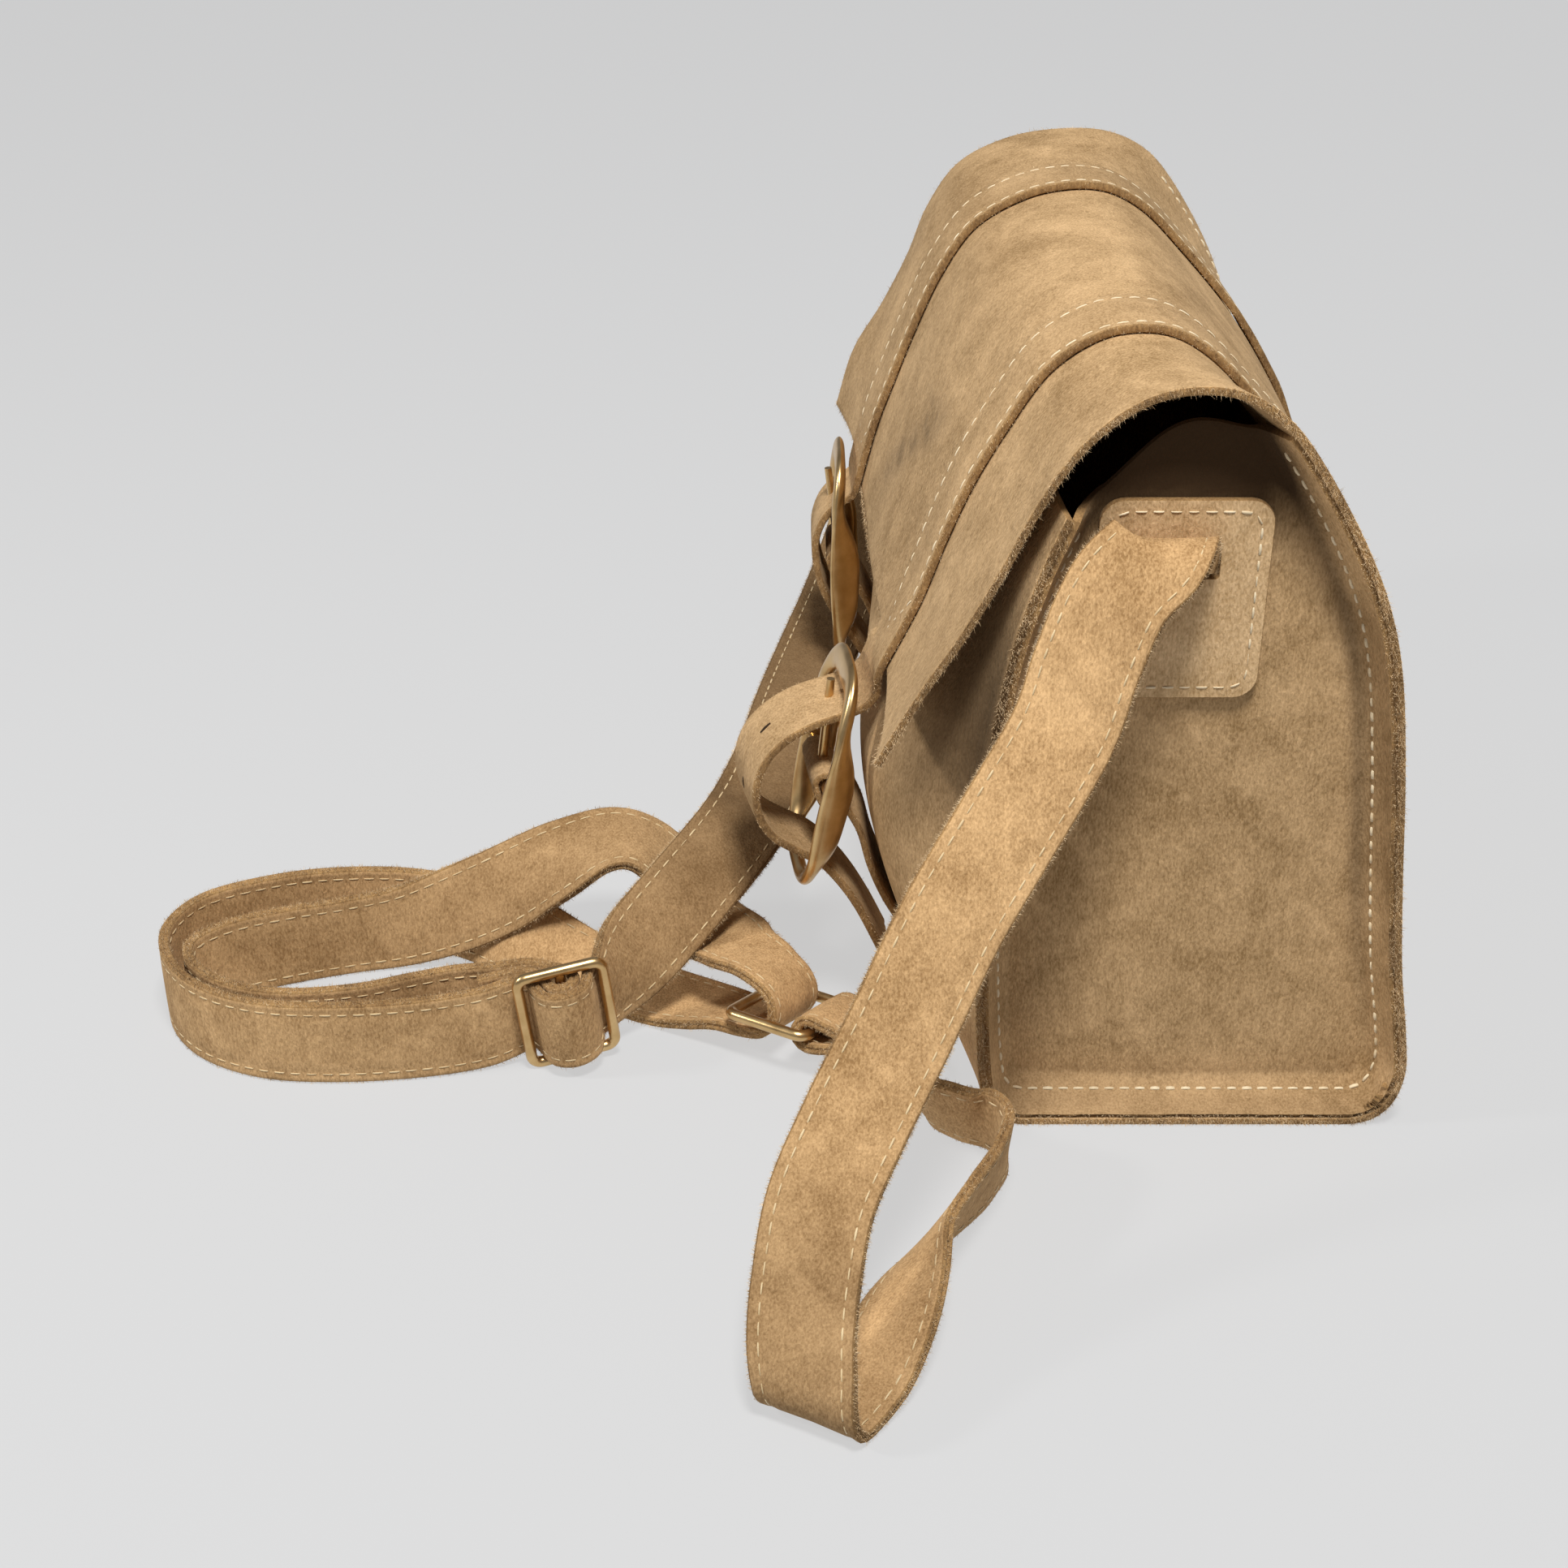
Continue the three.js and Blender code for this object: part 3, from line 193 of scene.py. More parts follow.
brass, tree, shader = new_material("brass_antique_satin", Metallic=1.0)
place = add_node(tree, "ShaderNodeTexCoord").outputs["Object"]
patina = add_node(tree, "ShaderNodeTexNoise", {"Vector": place},
                  {"Scale": 1 / (7 * MM), "Detail": 5.0, "Roughness": 0.6})
tint = add_node(tree, "ShaderNodeMix", {FACTOR: patina.outputs["Fac"]},
                {COLOUR_A: to_linear("#AB854D"), COLOUR_B: to_linear("#F0D09A")}, data_type="RGBA")
tree.links.new(tint.outputs[MIXED], shader.inputs["Base Color"])
rough = add_node(tree, "ShaderNodeMapRange", {"Value": patina.outputs["Fac"]},
                 {"To Min": 0.22, "To Max": 0.4})
tree.links.new(rough.outputs[0], shader.inputs["Roughness"])
scratch = add_node(tree, "ShaderNodeTexNoise", {"Vector": place}, {"Scale": 1 / (0.7 * MM), "Detail": 3.0})
bump = add_node(tree, "ShaderNodeBump", {"Height": scratch.outputs["Fac"]},
                {"Strength": 0.08, "Distance": 0.1 * MM})
tree.links.new(bump.outputs["Normal"], shader.inputs["Normal"])

paper, _, shader = new_material("floor_paper_matt", Roughness=0.9, Emission_Strength=0.56)
shader.inputs["Base Color"].default_value = to_linear("#595959")
shader.inputs["Emission Color"].default_value = to_linear("#FFFFFF")
bpy.ops.mesh.primitive_plane_add(size=8, location=(0, 0, 0))
floor = bpy.context.object
floor.name = "floor"
floor.data.materials.append(paper)
print("materials:", len(bpy.data.materials))


# %% [markdown]
# The body sheet is described by a short table, one row for each place where the sheet bends, from
# the top of the front panel, under the bottom, up the back and over to the lower edge of the flap.
# A smooth curve through the rows gives every point between them. belly and drop are how far the
# middle stands off, lean brings the left part of the flap forward, flare turns out its corners and
# puff swells the right of the front panel.

# %% The shape of the body sheet
HALF_WIDTH = 125
SUEDE = 2.0
GAP = 0.3
SEAM_FLAT = 6
# columns: y, z, belly, lean, flare, drop, puff
WRAP = [
    (-46, 179, -5, -3, 0, 0, 0), (-52, 163, -7, -5, 0, 0, 0), (-58, 140, -9, -8, 0, 0, -1),
    (-63, 102, -15, -5, 0, 0, -8.5), (-63.5, 78, -16, -3, 0, 0, -12.5), (-62, 46, -13, 0, 0, 0, -9.5),
    (-60, 18, -5, 0, 0, 0, -4), (-56.8, 5.5, -1.5, 0, 0, 0, 0), (-48, 0, 0, 0, 0, 0, 0),
    (-25, 0, 0, 0, 0, 0, 0), (18, 0, 0, 0, 0, 0, 0), (42, 0, 0, 0, 0, 0, 0), (51.5, 5, 0, 0, 0, 0, 0),
    (55, 16, 0, 0, 0, 0, 0), (53.5, 30, 1, 0, 0, 0, 0), (49.5, 52, 3, 0, 0, 0, 0), (46, 80, 4, 0, 0, 0, 0),
    (43, 107, 4, 0, 0, 0, 0), (39, 134, 3, 0, 0, 0, 0), (34, 153, -1, 0, 0, 0, 0), (26, 171, -5, 0, 0, 0, 0),
    (14, 191, -10, 0, 0, -1, 0), (4, 203.5, -11, 0, 0, -3, 0), (-8, 210.5, -9, -1, 0, -4.5, 0),
    (-22, 211, -5, -3, 0, -4.5, 0), (-34, 206, -1.5, -7, 0, -2.5, 0), (-45, 195.5, 0, -11, 0, 0, 0),
    (-53.5, 181.5, 0, -12, 0, 0, 0), (-61, 165.5, -1, -10.5, 0, 0, 0), (-68.5, 149, 0, -10, -1, 0, 0),
    (-74.5, 132.5, 0, -9.5, -5, 0, 0), (-84, 113, 0, -4.5, -6, 0, 0)]
LAST_ROW = len(WRAP) - 1
BAND_FIRST_ROW = 18
GUSSET_BACK_ROW = 21.7


def smooth(rows, at):
    """Rows of a table read as smooth curves at row numbers that need not be whole."""
    rows, at = np.asarray(rows, float), np.asarray(at, float)
    padded = np.vstack([2 * rows[0] - rows[1], rows, 2 * rows[-1] - rows[-2]])
    i = np.clip(np.floor(at).astype(int), 0, len(rows) - 2)
    f = (at - i)[..., None]
    p0, p1, p2, p3 = padded[i], padded[i + 1], padded[i + 2], padded[i + 3]
    bend = 2 * p0 - 5 * p1 + 4 * p2 - p3
    twist = 3 * p1 - p0 - 3 * p2 + p3
    return 0.5 * (2 * p1 + f * (p2 - p0 + f * (bend + f * twist)))


def wrap(at, x):
    """Points of the outer face of the body sheet, in millimetres."""
    at, x = np.broadcast_arrays(np.asarray(at, float), np.asarray(x, float))
    y, z, belly, lean, flare, drop, puff = np.moveaxis(smooth(WRAP, at), -1, 0)
    middle = 1 - (x / HALF_WIDTH) ** 4
    full = 1 - np.minimum(1, np.abs(x) / (HALF_WIDTH - SEAM_FLAT)) ** 8
    left = 1 / (1 + np.exp((x - 15) / 22))
    corner = np.maximum(0, (np.abs(x) - 70) / 55) ** 2
    y = y + middle * belly + left * lean + corner * flare + (1 - left) * full * puff
    return np.stack([x, y, np.maximum(0, z + np.maximum(middle, left) * drop)], -1)


def unit(v):
    return v / np.linalg.norm(v, axis=-1, keepdims=True)


def wrap_out(at, x):
    """The direction that points out of the bag there."""
    at, x = np.broadcast_arrays(np.asarray(at, float), np.asarray(x, float))
    along = wrap(np.minimum(at + 0.05, LAST_ROW), x) - wrap(np.maximum(at - 0.05, 0), x)
    return unit(np.cross(along, wrap(at, x + 0.1) - wrap(at, x - 0.1)))


def even_rows(first, last, count, x):
    """Row numbers that are evenly spaced along the sheet, and the length between them."""
    fine = np.linspace(first, last, 4000)
    line = wrap(fine, x)
    length = np.concatenate([[0], np.cumsum(np.linalg.norm(np.diff(line, axis=0), axis=1))])
    return np.interp(np.linspace(0, length[-1], count), length, fine), length[-1]


sheet_rows, sheet_length = even_rows(0, LAST_ROW, 301, 0)
print("body sheet is", round(sheet_length), "mm long")


# %% [markdown]
# A panel starts as the flat cut piece: a grid of small squares. Its points are then moved to where
# the sewn panel lies, a Solidify modifier gives it the thickness of suede, and a small bevel softens
# the cut edges. The rim gets its own material, because a cut edge is darker than the brushed face.

# %% Helpers for sheets
def cut_sheet(name, points, thickness, finish, flip=False, tone=None):
    """A sheet whose grid of points lies at the given places; its thickness goes behind them."""
    rows, columns = points.shape[:2]
    bpy.ops.object.select_all(action="DESELECT")
    bpy.ops.mesh.primitive_grid_add(x_subdivisions=columns - 1, y_subdivisions=rows - 1, size=1)
    sheet = bpy.context.object
    sheet.name = sheet.data.name = name
    sheet.data.vertices.foreach_set("co", (points * MM).reshape(-1))
    sheet.data.materials.append(finish)
    sheet.data.materials.append(cut_edge)
    if tone is not None:
        sheet.data.attributes.new("tone", "FLOAT", "POINT").data.foreach_set("value", tone.reshape(-1))
    if flip:
        bpy.ops.object.mode_set(mode="EDIT")
        bpy.ops.mesh.select_all(action="SELECT")
        bpy.ops.mesh.flip_normals()
        bpy.ops.object.mode_set(mode="OBJECT")
    wall = sheet.modifiers.new("thickness", "SOLIDIFY")
    wall.thickness = thickness * MM
    wall.offset = -1
    wall.material_offset_rim = 1
    soften = sheet.modifiers.new("soften", "BEVEL")
    soften.width = 0.35 * MM
    soften.segments = 2
    soften.limit_method = "ANGLE"
    soften.angle_limit = math.radians(60)
    for modifier in ("thickness", "soften"):
        bpy.ops.object.modifier_apply(modifier=modifier)
    bpy.ops.object.shade_smooth_by_angle(angle=math.radians(50))
    return sheet


def finish_piece(piece, *nodes, slot="suede"):
    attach(piece, "root")
    if nodes:
        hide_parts(*nodes)
    print(piece.name, len(piece.data.polygons), "faces")
    return piece


def mesh_piece(name, points, faces, *finishes):
    """An object from arrays of points in millimetres and of faces."""
    mesh = bpy.data.meshes.new(name)
    mesh.from_pydata((np.asarray(points) * MM).reshape(-1, 3), [], faces)
    made = bpy.data.objects.new(name, mesh)
    bpy.context.collection.objects.link(made)
    for finish in finishes:
        mesh.materials.append(finish)
    bpy.ops.object.select_all(action="DESELECT")
    made.select_set(True)
    bpy.context.view_layer.objects.active = made
    return made


# %% [markdown]
# A row of stitches is a row of small spindles. Each lies on the surface with its ends sunk into it,
# as thread does that is pulled tight through suede. All stitches of a piece are one mesh, built
# from arrays.

# %% Stitches
def stitch_rows(name, rows, pitch=4.6, length=3.2, wide=0.3):
    """rows are pairs of arrays: places along a sewn line, and the directions off the surface there."""
    spots = []
    for line, out in rows:
        run = np.concatenate([[0], np.cumsum(np.linalg.norm(np.diff(line, axis=0), axis=1))])
        at = np.arange(pitch / 2, run[-1] - length / 2, pitch)
        half = length / 2 * random.uniform(0.9, 1.08, len(at))
        read = [[np.interp(s, run, column) for column in line.T] for s in (at - half, at + half)]
        normal = np.stack([np.interp(at, run, column) for column in out.T], -1)
        spots.append((np.stack(read[0], -1), np.stack(read[1], -1), unit(normal)))
    start, end, out = (np.concatenate(parts) for parts in zip(*spots))
    side = unit(np.cross(out, end - start)) * (1 + 0.15 * random.standard_normal((len(start), 1)))
    share = np.array([0.0, 0.12, 0.5, 0.88, 1.0])
    thick = wide * np.array([0.35, 0.85, 1.0, 0.85, 0.35])
    rise = wide * np.array([-0.9, 0.0, 0.25, 0.0, -0.9])
    angle = np.linspace(0, 2 * np.pi, 6, endpoint=False)
    rings = start[:, None] + (end - start)[:, None] * share[None, :, None]
    rings = rings + out[:, None] * rise[None, :, None]
    points = rings[:, :, None] + thick[None, :, None, None] * (
        side[:, None, None] * np.cos(angle)[None, None, :, None]
        + 0.8 * out[:, None, None] * np.sin(angle)[None, None, :, None])
    i, k = np.meshgrid(np.arange(4), np.arange(6), indexing="ij")
    turn = (k + 1) % 6
    one = np.stack([i * 6 + k, i * 6 + turn, (i + 1) * 6 + turn, (i + 1) * 6 + k], -1).reshape(-1, 4)
    faces = (one[None] + 30 * np.arange(len(start))[:, None, None]).reshape(-1, 4)
    made = mesh_piece(name, points, faces.tolist(), thread)
    bpy.ops.object.shade_smooth()
    return made


# %% [markdown]
# A raw edge of suede is fuzzy: loose fibres stand out of the cut. Each is one thin triangle, a
# quarter of a millimetre to two millimetres long, and a fringe is thousands of them along an edge.

# %% Fringe of a raw edge
def fringe(name, edges, per_mm=9, longest=1.1):
    """edges are triples of arrays: places along an edge, the vector across its thickness, and the way out."""
    roots, ways = [], []
    for line, depth, out in edges:
        run = np.concatenate([[0], np.cumsum(np.linalg.norm(np.diff(line, axis=0), axis=1))])
        at = random.uniform(0, run[-1], int(per_mm * run[-1]))
        place, across, way = (np.stack([np.interp(at, run, column) for column in field.T], -1)
                              for field in (line, depth, out))
        roots.append(place + across * random.uniform(0.02, 0.98, (len(at), 1)) - 0.15 * way)
        ways.append(unit(way) + 0.55 * random.standard_normal(way.shape))
    root, way = np.concatenate(roots), unit(np.concatenate(ways))
    size = longest * random.uniform(0.25, 1.0, (len(root), 1)) ** 1.5 + 0.15
    wide = 0.07 * unit(np.cross(way, random.standard_normal(way.shape)))
    points = np.stack([root - wide, root + wide, root + way * size], 1)
    faces = np.arange(3 * len(root)).reshape(-1, 3)
    return mesh_piece(name, points, faces.tolist(), fibre)


# %% [markdown]
# The body is 250 mm wide and its sheet is cut in one length. Soft suede never lies quite even, so a
# few slow waves are added to the flap and the panels, fading out at the bottom and the seams. The
# front of the flap has a few dark scuffs.

# %% Body
def ripple(at, x, size=30.0, height=0.7):
    """Slow waves of the soft sheet, in millimetres, the same each time."""
    waves = np.zeros(np.broadcast(at, x).shape)
    for k in range(1, 7):
        turn = 2.39996 * k
        along = (x * math.cos(turn) + at * 9 * math.sin(turn)) / size
        waves = waves + np.sin(along * (1 + 0.35 * k) + 1.7 * k) / k
    seam = np.clip((HALF_WIDTH - np.abs(x)) / 25, 0, 1)
    bottom = np.clip((np.abs(at - 9.5) - 4) / 3, 0, 1)
    return height * waves * seam * bottom


def body_face(at, x, lift=0.0):
    at, x = np.broadcast_arrays(np.asarray(at, float), np.asarray(x, float))
    return wrap(at, x) + wrap_out(at, x) * (ripple(at, x) + lift)[..., None]


# columns: x, row, half length along the bag, half height in rows, strength
SCUFFS = [
    (-8, 29.5, 8, 0.3, 0.65), (2, 29.0, 8, 0.25, 0.55), (12, 28.6, 8, 0.22, 0.5), (-16, 29.9, 7, 0.25, 0.45),
    (6, 28.2, 12, 0.3, 0.35), (20, 28.2, 9, 0.35, 0.3)]
at_grid, x_grid = np.meshgrid(sheet_rows, np.linspace(-HALF_WIDTH, HALF_WIDTH, 111), indexing="ij")
scuffed = np.zeros(at_grid.shape)
for x, row, wide, tall, strength in SCUFFS:
    near = np.exp(-((x_grid - x) / wide) ** 2 - ((at_grid - row) / tall) ** 2)
    scuffed += strength * near * random.uniform(0.3, 1.0, near.shape)
# painted shadow of the flap on the upper front panel, strongest near both side seams
painted_flap_shadow = np.exp(-((at_grid - 2.6) / 1.2) ** 2 - (np.maximum(0, 125 - np.abs(x_grid)) / 30) ** 2)
flap_front_tone = 0.15 * np.clip((at_grid - 23) / 3, 0, 1)  # the front of the flap, from row 23 on, is a little darker
body = cut_sheet("body", body_face(at_grid, x_grid), SUEDE, tan_suede, flip=True,
                 tone=scuffed + 0.85 * painted_flap_shadow + flap_front_tone)
finish_piece(body, "body_wrap")

edge_rows = np.linspace(0, LAST_ROW, 900)
low_x = np.linspace(-HALF_WIDTH, HALF_WIDTH, 200)
low_out = unit(wrap(LAST_ROW, low_x) - wrap(LAST_ROW - 0.1, low_x))
raw_edges = [(wrap(LAST_ROW, low_x), -SUEDE * wrap_out(LAST_ROW, low_x), low_out)]
for side in (1, -1):
    x = np.full(900, side * float(HALF_WIDTH))
    outward = np.tile([float(side), 0, 0], (900, 1))
    raw_edges.append((wrap(edge_rows, x), -SUEDE * wrap_out(edge_rows, x), outward))
body_fringe = finish_piece(fringe("body_fringe", raw_edges, 26, 2.0))


# %% [markdown]
# Each side panel is a flat piece whose edge is bent outward along the seam, so that the two cut
# edges stand side by side. The panel's outline is the body's, a little smaller. The seam is sewn
# through both layers, so its stitches show on the bent edge and, along the bottom and the back, on
# the body. A darker tone painted toward the top of a panel is the flap's shadow; painted shade also
# darkens the whole panel a little, its bottom edge and a line in the fold along the back seam.

# %% Side panels
GUSSET_INSET = 11
SEAM_BEND = 6.5
SEAM_STITCH = 3.0  # from the panel's edge to the stitches
FRONT_CORNER_ROW = 7.4
BACK_CORNER_ROW = 12
GUSSET_RISE = 10
GROOVE = 6.0  # from the back seam to the line of painted shade in the fold
# painted shadow of the flap: the panel gets darker between the first two heights, in front of the third place
SHADE_LOW, SHADE_HIGH, SHADE_BACK = 160, 182, 18
PATCH_Y, PATCH_Z, PATCH_WIDTH, PATCH_HEIGHT = -16, 153.5, 42, 53


def gusset_edge(at, side, inside=2 * SUEDE - 0.5):
    at = np.asarray(at, float)
    x = np.full(at.shape, side * float(HALF_WIDTH))
    return wrap(at, x)[..., 1:] - inside * unit(wrap_out(at, x)[..., 1:])


def away_from(edge, points):
    """Distance of each place on a panel from the nearest place of its edge."""
    flat = points.reshape(-1, 2)
    return np.array([np.min(np.hypot(*(edge - p).T)) for p in flat]).reshape(points.shape[:-1])


def gusset_face(points, side):
    """How far out the panel stands at places on it."""
    edge = gusset_edge(np.linspace(0, GUSSET_BACK_ROW, 6000), side)
    bend = np.maximum(0, 1 - away_from(edge, points) / SEAM_BEND)
    return HALF_WIDTH - GUSSET_INSET * (1 - bend ** 2)


def gusset_grid(side, rows=80, columns=90):
    p = 0.5 - 0.5 * np.cos(np.pi * np.linspace(0, 1, columns))
    q = 1 - np.cos(0.5 * np.pi * np.linspace(0, 1, rows))
    front = gusset_edge(FRONT_CORNER_ROW * (1 - q), side)
    back = gusset_edge(BACK_CORNER_ROW + (GUSSET_BACK_ROW - BACK_CORNER_ROW) * q, side)
    bottom = gusset_edge(FRONT_CORNER_ROW + (BACK_CORNER_ROW - FRONT_CORNER_ROW) * p, side)
    rise = np.stack([0 * p, GUSSET_RISE * np.sin(np.pi * p) ** 2], -1)
    top = front[-1] + (back[-1] - front[-1]) * p[:, None] + rise
    P, Q = p[None, :, None], q[:, None, None]
    corners = (front[0] * (1 - P) + back[0] * P) * (1 - Q) + (front[-1] * (1 - P) + back[-1] * P) * Q
    return front[:, None] * (1 - P) + back[:, None] * P + bottom[None] * (1 - Q) + top[None] * Q - corners


for hand, side in (("right", 1), ("left", -1)):
    flat = gusset_grid(side)
    out = gusset_face(flat, side)
    y, z = flat[..., 0], flat[..., 1]
    off_patch = np.hypot(np.maximum(0, np.abs(y - PATCH_Y) - PATCH_WIDTH / 2),
                         np.maximum(0, np.abs(z - PATCH_Z) - PATCH_HEIGHT / 2))
    free = np.clip((HALF_WIDTH - out - 9) / 2, 0, 1) * np.clip(off_patch / 20, 0, 1)
    wave = 0.5 * np.sin(z / 17 + y / 29) + 0.4 * np.sin(z / 31 - y / 15) - 0.3
    points = np.stack([side * (out + wave * free), y, z], -1)
    # painted shade: the flap's shadow toward the top, an even darkening of the panel, the upward-facing
    # bottom edge, and a dark line in the fold along the back seam
    painted_shade = 0.95 * np.clip((z - SHADE_LOW) / (SHADE_HIGH - SHADE_LOW), 0, 1)
    painted_shade = painted_shade * np.clip((HALF_WIDTH - out - 2) / 8, 0, 1)
    painted_shade = painted_shade * np.clip((SHADE_BACK - y) / 16, 0, 1) + 0.06 + 0.3 * np.clip(1.5 - z / 9, 0, 1)
    back_seam = gusset_edge(np.linspace(BACK_CORNER_ROW, GUSSET_BACK_ROW, 600), side)
    groove = np.exp(-((away_from(back_seam, flat) - GROOVE) / 2.2) ** 2)
    painted_shade = painted_shade + 0.45 * groove * np.clip((z - 15) / 60, 0, 1)
    panel = cut_sheet("side_panel_" + hand, points, SUEDE, tan_suede, flip=side < 0, tone=painted_shade)
    finish_piece(panel, "gusset_" + hand)

    seam_at = np.linspace(0.25, GUSSET_BACK_ROW - 0.2, 900)
    at_edge = gusset_edge(seam_at, side)
    inward = unit(gusset_edge(seam_at, side, 5.0) - at_edge)
    outline = np.column_stack([np.full(900, side * float(HALF_WIDTH)), at_edge])
    sideways = np.tile([float(side), 0, 0], (900, 1))
    through = np.column_stack([np.zeros(900), -SUEDE * inward])
    loose = fringe("side_panel_fringe_" + hand, [(outline, through, sideways)])
    bend = 1 - SEAM_STITCH / SEAM_BEND
    sewn_x = HALF_WIDTH - GUSSET_INSET * (1 - bend ** 2)
    slope = 2 * GUSSET_INSET * bend / SEAM_BEND
    sewn = np.column_stack([np.full(900, side * sewn_x), at_edge + SEAM_STITCH * inward])
    off_panel = unit(np.column_stack([np.full(900, float(side)), slope * inward]))
    body_at = seam_at[seam_at > FRONT_CORNER_ROW]
    on_body = np.full(len(body_at), side * (sewn_x + 0.5))
    rows = [(sewn, off_panel), (body_face(body_at, on_body, 0.1), wrap_out(body_at, on_body))]
    seam = stitch_rows("seam_stitches_" + hand, rows, 4.2, 3.0, 0.48)
    finish_piece(loose)
    finish_piece(seam)


# %% [markdown]
# A patch strengthens each side panel where the shoulder strap comes out of a slit. Its outline and
# the slit are a filled flat curve, which Blender turns into a mesh with a thickness.

# %% Side patches
SLIT_Y, SLIT_Z, SLIT_WIDTH, SLIT_HEIGHT = -21.2, 163, 28, 7


def rounded_rectangle(width, height, radius, steps=8):
    corners = []
    for a, b, start in ((1, 1, 0), (-1, 1, 90), (-1, -1, 180), (1, -1, 270)):
        for d in np.radians(np.linspace(start, start + 90, steps)):
            corners.append((a * (width / 2 - radius) + radius * math.cos(d),
                            b * (height / 2 - radius) + radius * math.sin(d)))
    return np.array(corners)


for hand, side in (("right", 1), ("left", -1)):
    curve = bpy.data.curves.new("side_patch_outline", "CURVE")
    curve.dimensions = "2D"
    curve.fill_mode = "BOTH"
    curve.extrude = (SUEDE / 2 - 0.25) * MM
    curve.bevel_depth = 0.25 * MM
    curve.offset = -0.25 * MM
    hole = rounded_rectangle(SLIT_WIDTH, SLIT_HEIGHT, 1.0) + (SLIT_Y - PATCH_Y, SLIT_Z - PATCH_Z)
    for outline in (rounded_rectangle(PATCH_WIDTH, PATCH_HEIGHT, 6.0), hole):
        spline = curve.splines.new("POLY")
        spline.points.add(len(outline) - 1)
        spline.use_cyclic_u = True
        for point, (u, v) in zip(spline.points, outline):
            point.co = (u * MM, v * MM, 0, 1)
    patch = bpy.data.objects.new("strap_patch_" + hand, curve)
    bpy.context.collection.objects.link(patch)
    bpy.ops.object.select_all(action="DESELECT")
    patch.select_set(True)
    bpy.context.view_layer.objects.active = patch
    bpy.ops.object.convert(target="MESH")
    patch = bpy.context.object
    patch.rotation_euler = (math.radians(90), 0, math.radians(90))
    patch.location = np.array([side * (HALF_WIDTH - GUSSET_INSET + GAP + SUEDE / 2), PATCH_Y, PATCH_Z]) * MM
    bpy.ops.object.transform_apply(location=True, rotation=True, scale=True)
    patch.data.materials.clear()
    for finish in (lit_patch_suede, cut_edge):
        patch.data.materials.append(finish)
    for face in patch.data.polygons:
        face.material_index = 0 if abs(face.normal.x) > 0.9 else 1
    finish_piece(patch, "side_patch_" + hand)
    sewn = rounded_rectangle(PATCH_WIDTH - 6, PATCH_HEIGHT - 6, 4.0)
    sewn = np.vstack([sewn, sewn[:1]]) + (PATCH_Y, PATCH_Z)
    count = len(sewn)
    face_x = np.full(count, side * (HALF_WIDTH - GUSSET_INSET + GAP + SUEDE + 0.05))
    rows = [(np.column_stack([face_x, sewn]), np.tile([float(side), 0, 0], (count, 1)))]
    finish_piece(stitch_rows("patch_stitches_" + hand, rows, 4.2, 3.0))


# %% [markdown]
# Straps are swept: a small cross-section is carried along a line of stations, each with its middle
# and the way across. The shoulder strap is two layers sewn together, so its section has a groove
# along both cut edges and a slight dip where each row of stitches pulls the layers together.

# %% Helpers for straps
STITCH_INSET = 3.0


def layered_section(width, thick, layers=2):
    """Half of a strap's outline, mirrored: places across it and off its middle face."""
    w, h = width / 2, thick / 2
    top = [(0, h), (w * 0.4, h), (w - 4.6, h * 0.97), (w - STITCH_INSET, h * 0.8), (w - 1.6, h * 0.95),
           (w - 0.5, h * 0.93), (w - 0.08, h * 0.7), (w, h * 0.4)]
    right = top + ([(w - 0.45, 0)] if layers == 2 else [(w + 0.05, 0)]) + [(a, -b) for a, b in top[::-1]]
    left = [(-a, b) for a, b in right[::-1]]
    return np.array(right + left[1:-1])


def even_line(points, across, step):
    """Stations along a smooth line, evenly spaced: middles, ways across and ways off the face."""
    points, across = np.asarray(points, float), np.asarray(across, float)
    fine_at = np.linspace(0, len(points) - 1, 40 * len(points))
    fine = smooth(points, fine_at)
    length = np.concatenate([[0], np.cumsum(np.linalg.norm(np.diff(fine, axis=0), axis=1))])
    count = max(4, int(round(length[-1] / step)))
    at = np.interp(np.linspace(0, length[-1], count + 1), length, fine_at)
    middle, side = smooth(points, at), smooth(across, at)
    along = unit(np.gradient(middle, axis=0))
    side = unit(side - along * np.sum(side * along, axis=1, keepdims=True))
    return {"middle": middle, "side": side, "face": np.cross(along, side), "length": length[-1], "at": at}


def keep_on_floor(line, width, thick):
    hang = np.abs(line["side"][:, 2]) * width / 2 + np.abs(line["face"][:, 2]) * thick / 2
    line["middle"][:, 2] = np.maximum(line["middle"][:, 2], hang + 0.2)
    return line


